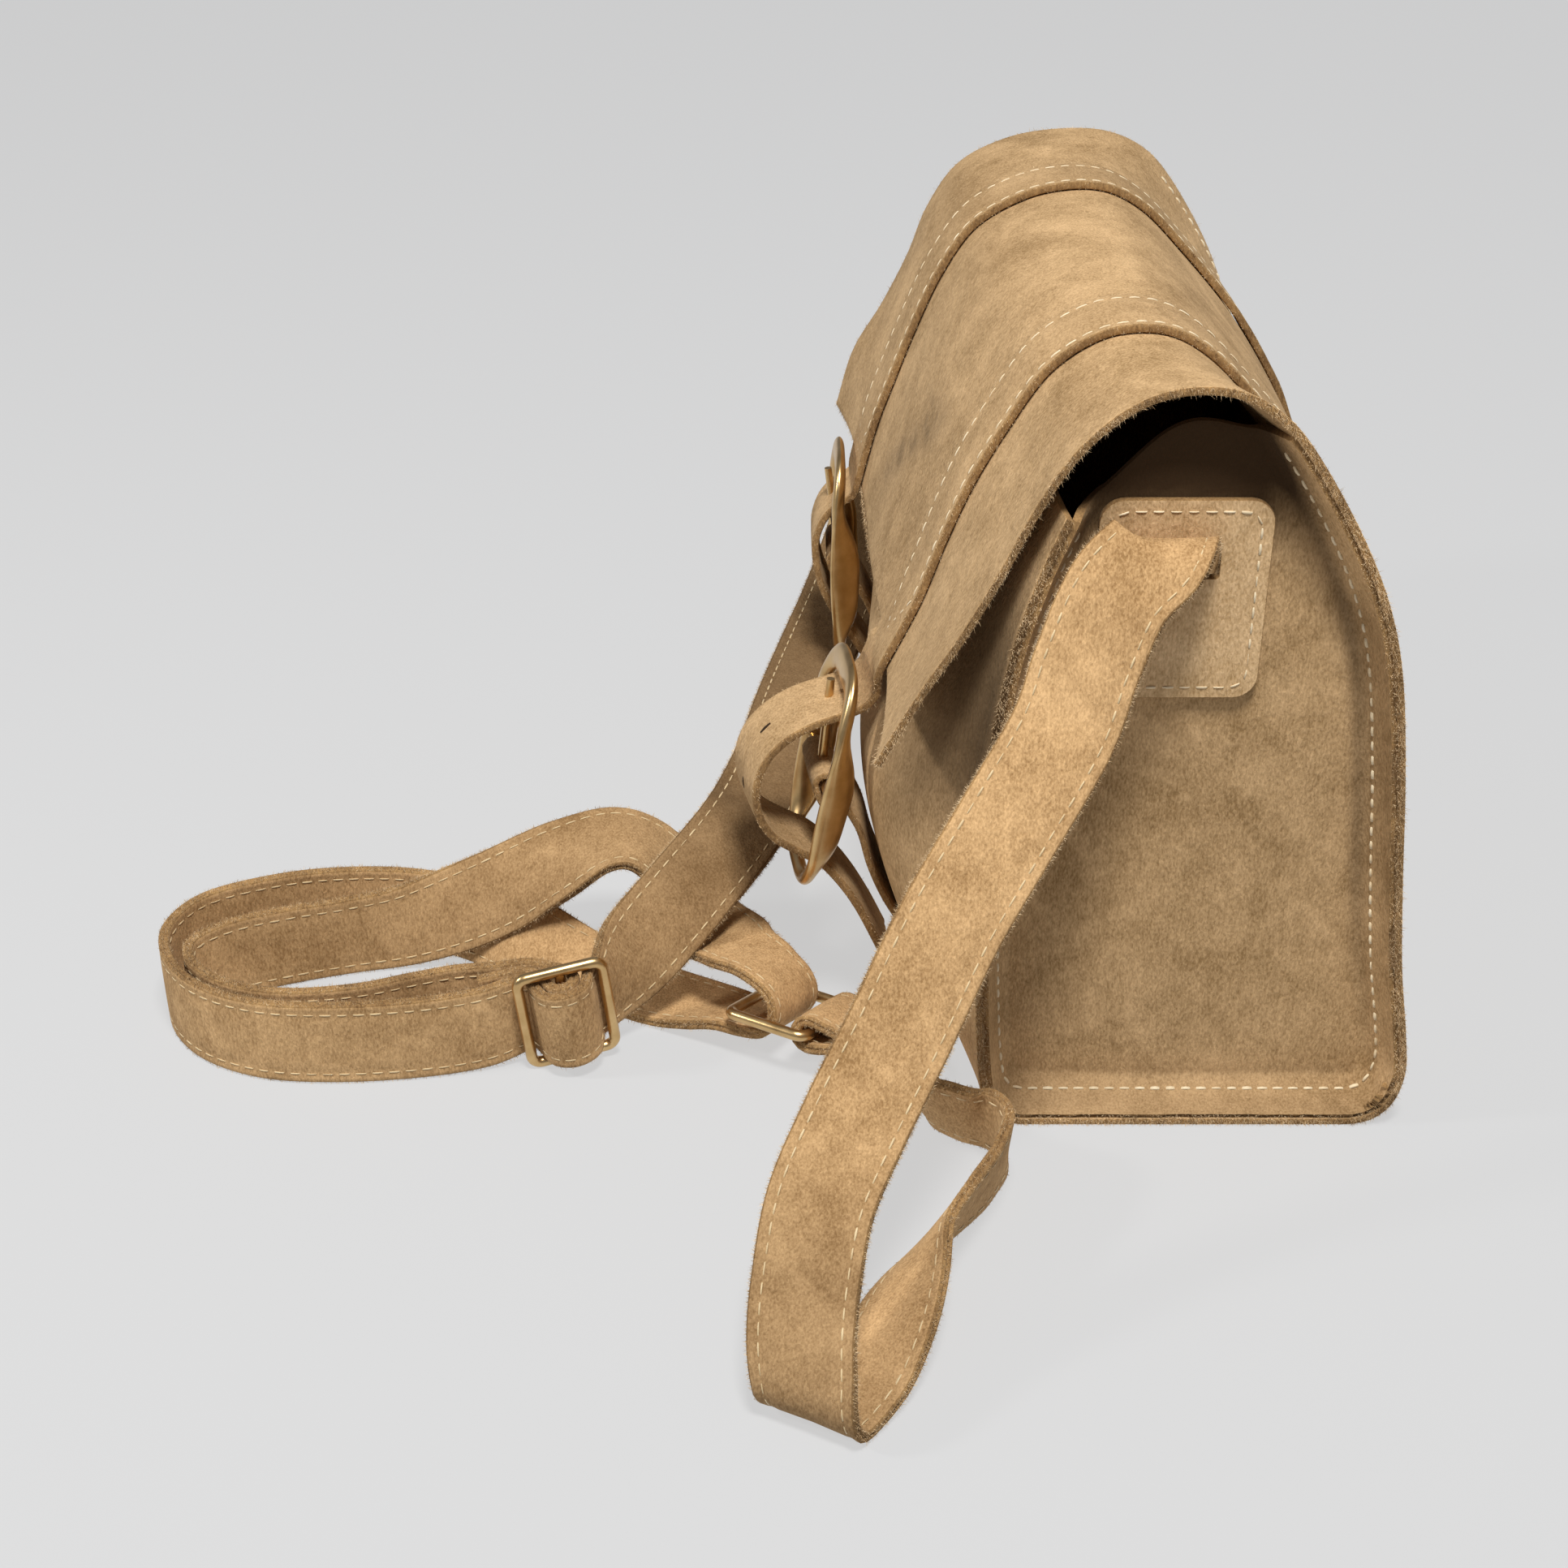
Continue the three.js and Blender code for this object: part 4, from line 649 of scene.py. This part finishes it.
def sweep_strap(name, line, section, finish, tone=None):
    stations, corners = len(line["middle"]), len(section)
    middle, side, face = (line[k][:, None] for k in ("middle", "side", "face"))
    points = middle + side * section[None, :, :1] + face * section[None, :, 1:]
    i, k = np.meshgrid(np.arange(stations - 1), np.arange(corners), indexing="ij")
    turn = (k + 1) % corners
    here, after = i * corners, (i + 1) * corners
    quads = np.stack([here + k, here + turn, after + turn, after + k], -1)
    ends = [list(range(corners))[::-1], list(range((stations - 1) * corners, stations * corners))]
    strap = mesh_piece(name, points, quads.reshape(-1, 4).tolist() + ends, finish, cut_edge)
    reach = np.abs(section[:, 0]).max() - 0.6
    edge = (np.abs(section[:, 0]) > reach) & (np.abs(np.roll(section[:, 0], -1)) > reach)
    index = np.concatenate([np.tile(edge, stations - 1), [True, True]]).astype(np.int32)
    strap.data.polygons.foreach_set("material_index", index)
    if tone is not None:
        values = np.repeat(tone, corners)
        strap.data.attributes.new("tone", "FLOAT", "POINT").data.foreach_set("value", values)
    bpy.ops.object.mode_set(mode="EDIT")
    bpy.ops.mesh.select_all(action="SELECT")
    bpy.ops.mesh.normals_make_consistent(inside=False)
    bpy.ops.object.mode_set(mode="OBJECT")
    bpy.ops.object.shade_smooth_by_angle(angle=math.radians(40))
    return strap


def strap_edges(line, width, thick):
    """Both raw edges of a strap, for its fringe."""
    return [(line["middle"] + s * line["side"] * width / 2 - line["face"] * thick / 2, line["face"] * thick,
             s * line["side"]) for s in (-1, 1)]


def strap_stitches(line, width, thick, faces=(1, -1), first=0, last=None):
    """Stitch rows near both edges, on the chosen faces."""
    span = slice(first, last)
    off = thick / 2 * 0.8 + 0.1
    middle, side, face = (line[k][span] for k in ("middle", "side", "face"))
    reach = width / 2 - STITCH_INSET
    return [(middle + s * side * reach + f * off * face, f * face) for s in (-1, 1) for f in faces]


# %% [markdown]
# The two closure straps are sewn down over the back, the top and the flap, and come free at the
# flap's lower edge. Each goes behind its buckle's top, out in a curl over the middle bar, and back
# behind the foot of the frame. The sewn rows meet in a point above the flap's edge.

# %% Closure straps
CLOSURE_X = 63
CLOSURE_WIDTH = 24
CLOSURE_THICK = 2.4
FRAME_Y, FRAME_Z = -101.7, 77
LEFT_Y, LEFT_Z = -94.5, 87.5
POINT_ROW, ROWS_END = 30.72, 30.1  # where the two sewn rows meet and where they leave the edges
# columns: y, z, turn of the strap's far edge outward in degrees
RIGHT_CURL = [
    (-87.6, 108, 6), (-89.6, 103.4, 8), (-93.5, 100.2, 10), (-99.5, 98.4, 12), (-107, 96.4, 13),
    (-114.3, 92.5, 13), (-119.8, 86.5, 13), (-122.3, 78.5, 13), (-121.3, 69.5, 13), (-117.2, 62.5, 12),
    (-110.5, 57.2, 11), (-104, 52.8, 10), (-98.5, 46.6, 8), (-93, 38.5, 6), (-88, 29, 4), (-83, 18, 3)]
LEFT_CURL = [
    (-90.5, 110, 0), (-95, 107, 0), (-99.5, 102, 0), (-102, 95, 0), (-102, 88, 0), (-100.5, 80, 0),
    (-97, 72, 0), (-93, 66, 0), (-89.5, 60, 0), (-84, 51, 0), (-80.5, 43, 0), (-78, 34, 0)]
# the prong's slits, drawn as lenses of painted shade: first one's distance from the flap's edge, pitch,
# length, half width
SLITS, SLIT_FIRST, SLIT_PITCH, SLIT_LONG, SLIT_HALF = 3, 36, 18, 4.6, 0.6
slit_shadow = suede("suede_slit_shadow", "#1A120B", "#3A2A1B")
closure_lines = {}
for hand, side, curl, bar_y in (("right", 1, RIGHT_CURL, FRAME_Y), ("left", -1, LEFT_CURL, LEFT_Y)):
    x = side * CLOSURE_X
    sewn_at = np.arange(BAND_FIRST_ROW, LAST_ROW + 0.01, 0.5)
    middle = body_face(sewn_at, x, GAP + CLOSURE_THICK / 2)
    half = CLOSURE_WIDTH / 2
    sewn_across = (body_face(sewn_at, x + half) - body_face(sewn_at, x - half)) / CLOSURE_WIDTH
    y, z, turn = np.array(curl, float).T
    turn = np.radians(turn)
    free = np.column_stack([x - (y - bar_y) * np.sin(turn), y, z])
    level = np.column_stack([np.cos(turn), np.sin(turn), 0 * turn])
    line = even_line(np.vstack([middle, free]), np.vstack([sewn_across, level]), 1.6)
    closure_lines[side] = line
    section = layered_section(CLOSURE_WIDTH - 0.6, CLOSURE_THICK, 1)
    strap = sweep_strap("closure_band_" + hand, line, section, tan_suede, tone=np.full(len(line["at"]), 0.14))
    finish_piece(strap, "closure_strap_" + hand)
    reach = half - STITCH_INSET
    down = np.linspace(BAND_FIRST_ROW + 0.2, ROWS_END, 300)
    point = np.linspace(0, 1, 20)[1:]
    to_point = ROWS_END + (POINT_ROW - ROWS_END) * point
    from_point = POINT_ROW + (ROWS_END - POINT_ROW) * point
    row_at = np.concatenate([down, to_point, from_point, down[::-1]])
    row_x = x + reach * np.concatenate([np.full(300, -1), point - 1, point, np.full(300, 1)])
    rows = [(body_face(row_at, row_x, GAP + 0.92 * CLOSURE_THICK), wrap_out(row_at, row_x))]
    sewn = finish_piece(stitch_rows("band_stitches_" + hand, rows, wide=0.26))
    edges = strap_edges(line, CLOSURE_WIDTH - 0.6, CLOSURE_THICK)
    loose = finish_piece(fringe("band_fringe_" + hand, edges, 10, 0.9))
    step = line["length"] / (len(line["middle"]) - 1)
    past = line["length"] - np.linalg.norm(np.diff(free, axis=0), axis=1).sum() + SLIT_FIRST - SLIT_PITCH / 2
    span = slice(int(past / step), int((past + SLITS * SLIT_PITCH) / step))
    off_bag = wrap_out(sewn_at[:1], np.array([x]))[0]
    outward = line["face"][span] * math.copysign(1.0, line["face"][0] @ off_bag)
    slit_line = line["middle"][span] + outward * (CLOSURE_THICK / 2 - 0.2)
    slits = stitch_rows("strap_slits_" + hand, [(slit_line, outward)], SLIT_PITCH, SLIT_LONG, SLIT_HALF)
    slits.data.materials[0] = slit_shadow
    finish_piece(slits)

# %% [markdown]
# The buckle's own tab runs up the front panel, leaves it, goes around the middle bar of the buckle
# and ends behind it. The real tab has a slot for the prong's eye. It is hidden inside the turn, so
# this tab has none and the eye passes through its mesh.

# %% Buckle tabs
BAR_RADIUS = 1.6
FRAME_TURN = math.radians(7)
CHAPE_LIFT = 0.6
CHAPE_FOOT_ROW = 6.2
CHAPE_TOP_ROW = {1: 5.9, -1: 4.7}
CHAPE_REACH = {1: [(-76.8, 29), (-83.5, 40.5), (-88, 51.5), (-91, 62.5), (-95.2, 71)],
               -1: [(-84.5, 71), (-88.5, 79)]}
for hand, side, bar_y, bar_z in (("right", 1, FRAME_Y, FRAME_Z), ("left", -1, LEFT_Y, LEFT_Z)):
    x = side * CLOSURE_X
    sewn = body_face(np.linspace(CHAPE_FOOT_ROW, CHAPE_TOP_ROW[side], 5), x, CHAPE_LIFT + SUEDE / 2)
    reach = BAR_RADIUS + 2 * GAP + SUEDE / 2
    slant = 0.71 * reach
    around = [(reach, 0), (slant, slant), (0, reach), (-slant, slant), (-reach, 0),
              (-0.6 * reach, -4), (0.6, -9), (3.6, -14)]
    free = [(x, y, z) for y, z in CHAPE_REACH[side]] + [(x, bar_y + y, bar_z + z) for y, z in around]
    turn = FRAME_TURN if side > 0 else 0.0
    level = np.tile([1.0, 0, 0], (5 + len(free), 1))
    level[-len(around):] = (math.cos(turn), math.sin(turn), 0)
    line = even_line(np.vstack([sewn, free]), level, 1.5)
    tab = sweep_strap("buckle_tab_" + hand, line, layered_section(CLOSURE_WIDTH - 1, SUEDE, 1), tan_suede)
    finish_piece(tab, "buckle_chape_" + hand)
    edges = strap_edges(line, CLOSURE_WIDTH - 1, SUEDE)
    loose = finish_piece(fringe("buckle_tab_fringe_" + hand, edges, 10, 0.9))

# %% [markdown]
# The shoulder strap is in two lengths. The short one drops from the right side panel, turns on the
# floor and ends in a ring. The long one drops from the left, runs along the front to the slider,
# coils on the floor, passes through the ring and comes back to the slider.

# %% Shoulder straps
STRAP_WIDTH = 26
STRAP_THICK = 3.2
SLIDER_MIDDLE = np.array([97.8, -172.8, 18])
SLIDER_RUN = unit(np.array([-0.25, 0.95, 0.115]))
SLIDER_UP = np.array([0.15, -0.25, 0.955])
SLIDER_UP = unit(SLIDER_UP - SLIDER_RUN * np.dot(SLIDER_UP, SLIDER_RUN))
SLIDER_FACE = np.cross(SLIDER_RUN, SLIDER_UP)
RING_CORNER = np.array([94, -128, 15.2])
RING_LONG = unit(np.array([-0.84, 0.47, -0.27]))
RING_SHORT = unit(np.array([0.489, 0.872, 0]))
RING_LENGTH, RING_DEPTH = 31, 24
RING_RISE = unit(np.cross(RING_SHORT, RING_LONG))
RING_MIDDLE = RING_CORNER + RING_LONG * RING_LENGTH / 2 + RING_SHORT * RING_DEPTH / 2
RING_FAR = RING_MIDDLE + RING_SHORT * RING_DEPTH / 2


def on_slider(run, rise):
    return (*(SLIDER_MIDDLE + SLIDER_RUN * run + SLIDER_FACE * rise), *-SLIDER_UP)


def on_ring(run, rise):
    return (*(RING_FAR + RING_SHORT * run + RING_RISE * rise), *-RING_LONG)


# columns: x, y, z of the strap's middle, then the way across it
SHORT_STRAP = [
    (115.6, -21.2, 161.9, 0, 1, 0), (118.6, -21.3, 166.6, 0, 1, 0), (122.6, -22.2, 171.3, 0, 1, 0),
    (127.4, -25, 170.8, 0.05, 1, 0), (131, -33.5, 162.5, 0.35, 0.92, -0.15),
    (134.5, -40, 146, 0.38, 0.86, -0.35), (139, -45.5, 129.5, 0.34, 0.86, -0.38),
    (150, -59, 109, 0.25, 0.9, -0.35), (163, -72.5, 90.4, 0.15, 0.93, -0.3),
    (178, -84.8, 69.8, 0.1, 0.95, -0.2), (192, -95.2, 54.5, 0.12, 0.97, -0.08),
    (206, -103.5, 41.7, 0.2, 0.98, 0), (219, -107, 29.4, 0.28, 0.95, 0.03),
    (229, -108.2, 21.2, 0.33, 0.93, 0.06), (235.4, -107.8, 14.6, 0.4, 0.91, 0.1),
    (238, -107.2, 9.3, 0.45, 0.88, 0.1), (236.9, -105.4, 4.5, 0.52, 0.85, 0.06),
    (232.8, -102, 2.3, 0.6, 0.8, 0), (222.5, -93.8, 3.4, 0.58, 0.8, 0.12), (212, -87, 6.2, 0.45, 0.76, 0.42),
    (199.5, -82.2, 9.2, 0.25, 0.72, 0.64), (187, -77, 11.3, 0.27, 0.45, 0.85),
    (175, -68, 12.2, 0.38, 0.12, 0.91), (162, -59.5, 12.2, 0.41, 0, 0.91), (149.5, -55, 12.2, 0.41, 0, 0.91),
    (140.5, -57.5, 12.2, 0.41, 0, 0.91), (136, -66, 12.2, 0.41, 0, 0.9), (130, -74.5, 12.4, 0.5, -0.1, 0.85),
    (119.5, -80.5, 12.6, 0.7, -0.3, 0.65), (108.5, -84.5, 12.4, 0.82, -0.42, 0.4)]
LONG_STRAP_FALL = [
    (-115.6, -21.2, 161.9, 0, 1, 0), (-118.6, -21.2, 166.2, 0, 1, 0), (-122.6, -21.5, 168.7, 0, 1, 0),
    (-126.6, -23, 166.2, 0, 1, 0), (-130.5, -28, 155, 0, 0.98, -0.15), (-139, -40, 131, 0, 0.9, -0.4),
    (-147, -57, 101, 0, 0.9, -0.4), (-148, -72, 79, 0.08, 0.92, -0.3), (-140, -81, 66, 0.12, 0.94, -0.2),
    (-122, -87.3, 56.5, 0.15, 0.95, -0.2), (-97, -93.5, 51.5, 0.15, 0.95, -0.2),
    (-66, -100.8, 49, 0.15, 0.95, -0.2), (-30, -108, 48.5, 0.18, 0.95, -0.2),
    (9, -115.4, 46.5, 0.2, 0.94, -0.25), (38, -124.5, 43.5, 0.25, 0.9, -0.3), (62, -140, 35, 0.4, 0.75, -0.5),
    (78, -153.5, 26, 0.35, 0.4, -0.8)]
LONG_STRAP_COIL = [
    (99.6, -197, 14, 0, 0, -1), (103.5, -215, 13.4, 0, 0, -1), (105.5, -238, 13.4, 0, 0, -1),
    (103.5, -258.5, 13.4, 0, 0, -1), (95, -276, 13.4, 0, 0, -1), (81, -287.2, 13.4, 0, 0, -1),
    (65, -290.5, 13.4, 0, 0, -1), (50, -283.5, 13.4, 0, 0, -1), (40.5, -266.5, 13.4, 0, 0, -1),
    (36, -248, 13.4, 0, 0, -1), (36.5, -226, 13.4, 0.05, 0, -1), (43, -206, 12.6, 0.25, 0, -0.97),
    (51, -190, 10.4, 0.6, 0, -0.8), (57.5, -174, 6, 0.9, -0.1, -0.4), (63, -158, 2.8, 0.95, -0.25, -0.08),
    (69, -145, 2.2, 0.92, -0.38, 0), (75, -134, 3.6, 0.88, -0.45, 0.12), (80, -126, 5.3, 0.84, -0.47, 0.24),
    (84, -119, 5.7, 0.84, -0.47, 0.27), (87, -112.7, 7.4, 0.84, -0.47, 0.27),
    (87.3, -109.6, 13.2, 0.84, -0.47, 0.27), (84.5, -111.5, 19, 0.84, -0.47, 0.27),
    (79, -118, 22.3, 0.84, -0.47, 0.22), (70, -126, 21.5, 0.86, -0.46, 0.1),
    (60, -131, 20, 0.88, -0.45, -0.05),
    (52, -136, 22, 0.9, -0.4, 0), (45.5, -142.8, 29.5, 0.92, -0.35, 0), (42, -153, 38.5, 0.94, -0.28, 0),
    (41, -164.5, 39.8, 0.93, -0.15, -0.25), (42.5, -180, 33, 0.8, 0, -0.6), (44.5, -199, 22.8, 0.5, 0, -0.87),
    (47.5, -222, 14.8, 0.15, 0, -0.98), (52, -241, 13.4, 0, 0, -1), (57, -257, 13.4, 0, 0, -1),
    (64, -273, 13.4, 0, 0, -1), (74, -282, 13.4, 0, 0, -1), (85.5, -278.5, 13.4, 0, 0, -1),
    (95, -266.5, 13.4, 0, 0, -1), (98.8, -250, 13.4, 0, 0, -1), (96.5, -231, 13.4, 0, 0, -1),
    (91.5, -217, 13.4, 0, 0, -1), (88, -206, 13.4, 0, 0, -1)]
# columns: run along the ring or the slider, rise off it
SHORT_STRAP_END = [
    (9, 2.3), (3.6, 3.5), (0, 4), (-2.9, 2.8), (-4, 0), (-2.9, -2.8), (0, -4), (3.6, -3.5), (9, -2), (16, -2)]
SLIDER_PASS = [
    (12, -4.6), (8.8, -3.2), (7.6, 0), (5.4, 5.4), (0, 7.6), (-5.4, 5.4), (-7.6, 0), (-8.8, -3.2),
    (-12, -4.6)]
LONG_STRAP_END = [
    (-15, -12.2), (-7, -10.6), (-1.5, -6.6), (2.7, -2.9), (3.8, 0.8), (1.7, 3.5), (-1.9, 3.4), (-4, 0.2),
    (-5, -3.7), (-8, -6.9), (-13, -8.3), (-22, -8.5)]
routes = {
    "short": SHORT_STRAP + [on_ring(*p) for p in SHORT_STRAP_END],
    "long": LONG_STRAP_FALL + [on_slider(*p) for p in SLIDER_PASS] + LONG_STRAP_COIL
    + [on_slider(*p) for p in LONG_STRAP_END],
}
# how much painted shade darkens the nap, by row of the route
PAINTED_STRAP_SHADE = {"short": ([6, 10, 12, 16, 19], [0.0, 0.08, 0.38, 0.38, 0.05]),
           "long": ([0, 6, 9, 13.4, 13.8, 14.2, 16, 18, 50, 52, 56, 58],
                    [0.3, 0.6, 0.7, 0.66, 0.8, 0.6, 0.35, 0.05, 0.0, 0.28, 0.28, 0.05])}
strap_lines, straps, strap_extras = {}, {}, {}
for part, rows in routes.items():
    rows = np.array(rows, float)
    line = keep_on_floor(even_line(rows[:, :3], rows[:, 3:], 1.8), STRAP_WIDTH, STRAP_THICK)
    shade = np.interp(line["at"], *PAINTED_STRAP_SHADE[part])
    strap = sweep_strap("shoulder_strap_" + part + "_length", line, layered_section(STRAP_WIDTH, STRAP_THICK),
                        strap_suede, shade)
    straps[part], strap_lines[part] = strap, line
    finish_piece(strap, "shoulder_strap_" + part, slot="strap_suede")
    sewn = stitch_rows("strap_stitches_" + part, strap_stitches(line, STRAP_WIDTH, STRAP_THICK), wide=0.25)
    sewn.data.materials[0] = soiled_thread
    loose = fringe("strap_fringe_" + part, strap_edges(line, STRAP_WIDTH, STRAP_THICK), 18, 1.3)
    strap_extras[part] = [finish_piece(piece, slot="strap_suede") for piece in (sewn, loose)]
    print(part, "strap is", round(line["length"]), "mm long")


# %% [markdown]
# The slider and the ring are bent from brass wire. A wire loop is a round section carried around a
# rectangle with rounded corners.

# %% Slider and ring
WIRE = 1.6
WIRE_CORNER = 2.8


def closed_tube(name, points):
    """A mesh from rings of points whose last ring joins the first."""
    count, sides = points.shape[:2]
    i, k = np.meshgrid(np.arange(count), np.arange(sides), indexing="ij")
    after, turn = (i + 1) % count, (k + 1) % sides
    quads = np.stack([i * sides + k, after * sides + k, after * sides + turn, i * sides + turn], -1)
    quads = quads.reshape(-1, 4)
    made = mesh_piece(name, points, quads.tolist(), brass)
    bpy.ops.object.mode_set(mode="EDIT")
    bpy.ops.mesh.select_all(action="SELECT")
    bpy.ops.mesh.normals_make_consistent(inside=False)
    bpy.ops.object.mode_set(mode="OBJECT")
    bpy.ops.object.shade_smooth_by_angle(angle=math.radians(60))
    return made


def wire_loop(name, middle, run, up, half_run, half_up):
    outline = rounded_rectangle(2 * half_run, 2 * half_up, WIRE_CORNER)
    path = middle + outline[:, :1] * run + outline[:, 1:] * up
    along = unit(np.roll(path, -1, axis=0) - np.roll(path, 1, axis=0))
    face = np.cross(run, up)
    angle = np.linspace(0, 2 * np.pi, 16, endpoint=False)
    ring = np.cross(along, face)[:, None] * np.cos(angle)[None, :, None] + face * np.sin(angle)[None, :, None]
    return closed_tube(name, path[:, None] + WIRE * ring)


def rod(name, start, end, radius, radius_end=None):
    """A plain round bar between two places, or a tapered one."""
    way = end - start
    turn = (math.atan2(math.hypot(way[0], way[1]), way[2]), 0, math.atan2(way[1], way[0]) + math.pi / 2)
    bpy.ops.object.select_all(action="DESELECT")
    bpy.ops.mesh.primitive_cone_add(vertices=20, radius1=radius * MM, radius2=(radius_end or radius) * MM,
                                    depth=float(np.linalg.norm(way)) * MM, location=(start + end) / 2 * MM,
                                    rotation=turn)
    made = bpy.context.object
    made.name = name
    bpy.ops.object.transform_apply(location=True, rotation=True, scale=True)
    made.data.materials.append(brass)
    bpy.ops.object.shade_smooth_by_angle(angle=math.radians(50))
    return made


def join_pieces(first, *others):
    bpy.ops.object.select_all(action="DESELECT")
    for piece in (first, *others):
        piece.select_set(True)
    bpy.context.view_layer.objects.active = first
    bpy.ops.object.join()
    return first


SLIDER_HALF_RUN, SLIDER_HALF_TALL = 12, 15.4
slider = wire_loop("slider", SLIDER_MIDDLE, SLIDER_RUN, SLIDER_UP, SLIDER_HALF_RUN, SLIDER_HALF_TALL)
bar_reach = SLIDER_UP * SLIDER_HALF_TALL
bar = rod("slider_bar", SLIDER_MIDDLE - bar_reach, SLIDER_MIDDLE + bar_reach, 1.5)
finish_piece(join_pieces(slider, bar), "strap_slider", slot="hardware")
ring = wire_loop("ring", RING_MIDDLE, RING_SHORT, RING_LONG, RING_DEPTH / 2, RING_LENGTH / 2)
finish_piece(ring, "strap_ring", slot="hardware")
strap_extras["short"].append(ring)
strap_extras["long"].append(slider)

# %% [markdown]
# The buckle frames are cast: a squarish oval that is a flat plate at the top, round at the corners,
# and deep along the sides. A table gives the section at angles around the oval. Two notches in the
# lower lip of the plate leave a seat for the prong's tip.

# %% Buckle frames
FRAME_LEAN = math.radians(12.5)
FRAME_HALF_WIDTH, FRAME_HALF_HEIGHT, FRAME_SQUARE, FRAME_BOW = 18, 31, 3.6, 3
NOTCH_X, NOTCH_WIDTH, NOTCH_DEPTH = 3.0, 1.0, 2.2
# columns: angle, wide and thick as half sizes, twist of the flat toward the bag in degrees
FRAME_SECTION = [
    (0, 5.2, 1.8, 64), (30, 2.7, 1.9, 18), (90, 4.4, 1.7, 0), (150, 2.7, 1.9, 18), (180, 5.2, 1.8, 64),
    (200, 4.4, 1.8, 58), (228, 2.6, 1.9, 30), (270, 2.3, 1.9, 6), (312, 2.6, 1.9, 30), (340, 4.4, 1.8, 58)]
FRAME_SECTION = np.array(FRAME_SECTION + [(360, *FRAME_SECTION[0][1:])], float)


def frame_line(a):
    def rounded(v):
        return np.sign(v) * np.abs(v) ** (2 / FRAME_SQUARE)
    return np.stack([FRAME_HALF_WIDTH * rounded(np.cos(a)), FRAME_HALF_HEIGHT * rounded(np.sin(a))], -1)


def on_buckle(side, across, out, up):
    """Places on a buckle: across along its bar, out of its flat toward the bag, and up."""
    lean, turn = (FRAME_LEAN, FRAME_TURN) if side > 0 else (0.0, 0.0)
    middle = (CLOSURE_X, FRAME_Y, FRAME_Z) if side > 0 else (-CLOSURE_X, LEFT_Y, LEFT_Z)
    y = out * math.cos(lean) + up * math.sin(lean)
    z = -out * math.sin(lean) + up * math.cos(lean)
    return np.stack([middle[0] + across * math.cos(turn) - y * math.sin(turn),
                     middle[1] + across * math.sin(turn) + y * math.cos(turn), middle[2] + z], -1)


def buckle_points(side, around=200, corners=20):
    fine = np.linspace(0, 2 * np.pi, 6000)
    run = np.concatenate([[0], np.cumsum(np.linalg.norm(np.diff(frame_line(fine), axis=0), axis=1))])
    a = np.interp(np.linspace(0, run[-1], around, endpoint=False), run, fine)
    row = np.interp(np.degrees(a), FRAME_SECTION[:, 0], np.arange(len(FRAME_SECTION)))
    wide, thick, twist = np.moveaxis(smooth(FRAME_SECTION[:, 1:], row), -1, 0)
    twist = np.radians(twist)
    middle = frame_line(a)
    step = np.roll(middle, -1, axis=0) - np.roll(middle, 1, axis=0)
    radial = unit(np.stack([step[:, 1], -step[:, 0]], -1))
    bow = FRAME_BOW * (1 - (middle[:, 1] / FRAME_HALF_HEIGHT) ** 2)
    c = np.linspace(0, 2 * np.pi, corners, endpoint=False)
    u, v = wide[:, None] * np.cos(c), thick[:, None] * np.sin(c)
    notch = NOTCH_DEPTH * np.exp(-((np.abs(middle[:, 0]) - NOTCH_X) / NOTCH_WIDTH) ** 2) * (middle[:, 1] > 0)
    u = np.maximum(u, -wide[:, None] + notch[:, None])
    out = u * np.cos(twist)[:, None] + v * np.sin(twist)[:, None]
    back = (wide * np.sin(twist))[:, None] - u * np.sin(twist)[:, None] + v * np.cos(twist)[:, None]
    flat = middle[:, :, None] + radial[:, :, None] * out[:, None]
    return on_buckle(side, flat[:, 0], back - bow[:, None], flat[:, 1])


for hand, side in (("right", 1), ("left", -1)):
    buckle = closed_tube("buckle_" + hand, buckle_points(side))
    bar_ends = [on_buckle(side, across, 0, 0) for across in (-FRAME_HALF_WIDTH, FRAME_HALF_WIDTH)]
    bar = rod("bar", *bar_ends, BAR_RADIUS)
    finish_piece(join_pieces(buckle, bar), "buckle_frame_" + hand, slot="hardware")

# %% [markdown]
# Each prong is an eye around the bar and a tapered pin that runs through the strap to the seat in the
# top plate. Suede closes around a pin, so no hole is cut and the pin passes through the strap's mesh.

# %% Prongs
PRONG_RADIUS, PRONG_STAND, PRONG_REACH = 1.5, 3.7, 27.5
EYE_RADIUS = BAR_RADIUS + GAP + 0.8
for hand, side in (("right", 1), ("left", -1)):
    pivot, tip = on_buckle(side, 0, 0, 0), on_buckle(side, 0, -PRONG_STAND, PRONG_REACH)
    bar_way = unit(on_buckle(side, 1, 0, 0) - pivot)
    bpy.ops.object.select_all(action="DESELECT")
    eye_turn = (0, math.radians(90), math.atan2(bar_way[1], bar_way[0]))
    bpy.ops.mesh.primitive_torus_add(major_segments=32, minor_segments=14, major_radius=EYE_RADIUS * MM,
                                     minor_radius=0.8 * MM, location=pivot * MM, rotation=eye_turn)
    eye = bpy.context.object
    eye.name = "prong_" + hand
    bpy.ops.object.transform_apply(location=True, rotation=True, scale=True)
    eye.data.materials.append(brass)
    bpy.ops.object.shade_smooth()
    way = unit(tip - pivot)
    pin = rod("pin", pivot + way * EYE_RADIUS, tip, PRONG_RADIUS, PRONG_RADIUS * 0.75)
    finish_piece(join_pieces(eye, pin), "buckle_prong_" + hand, slot="hardware")
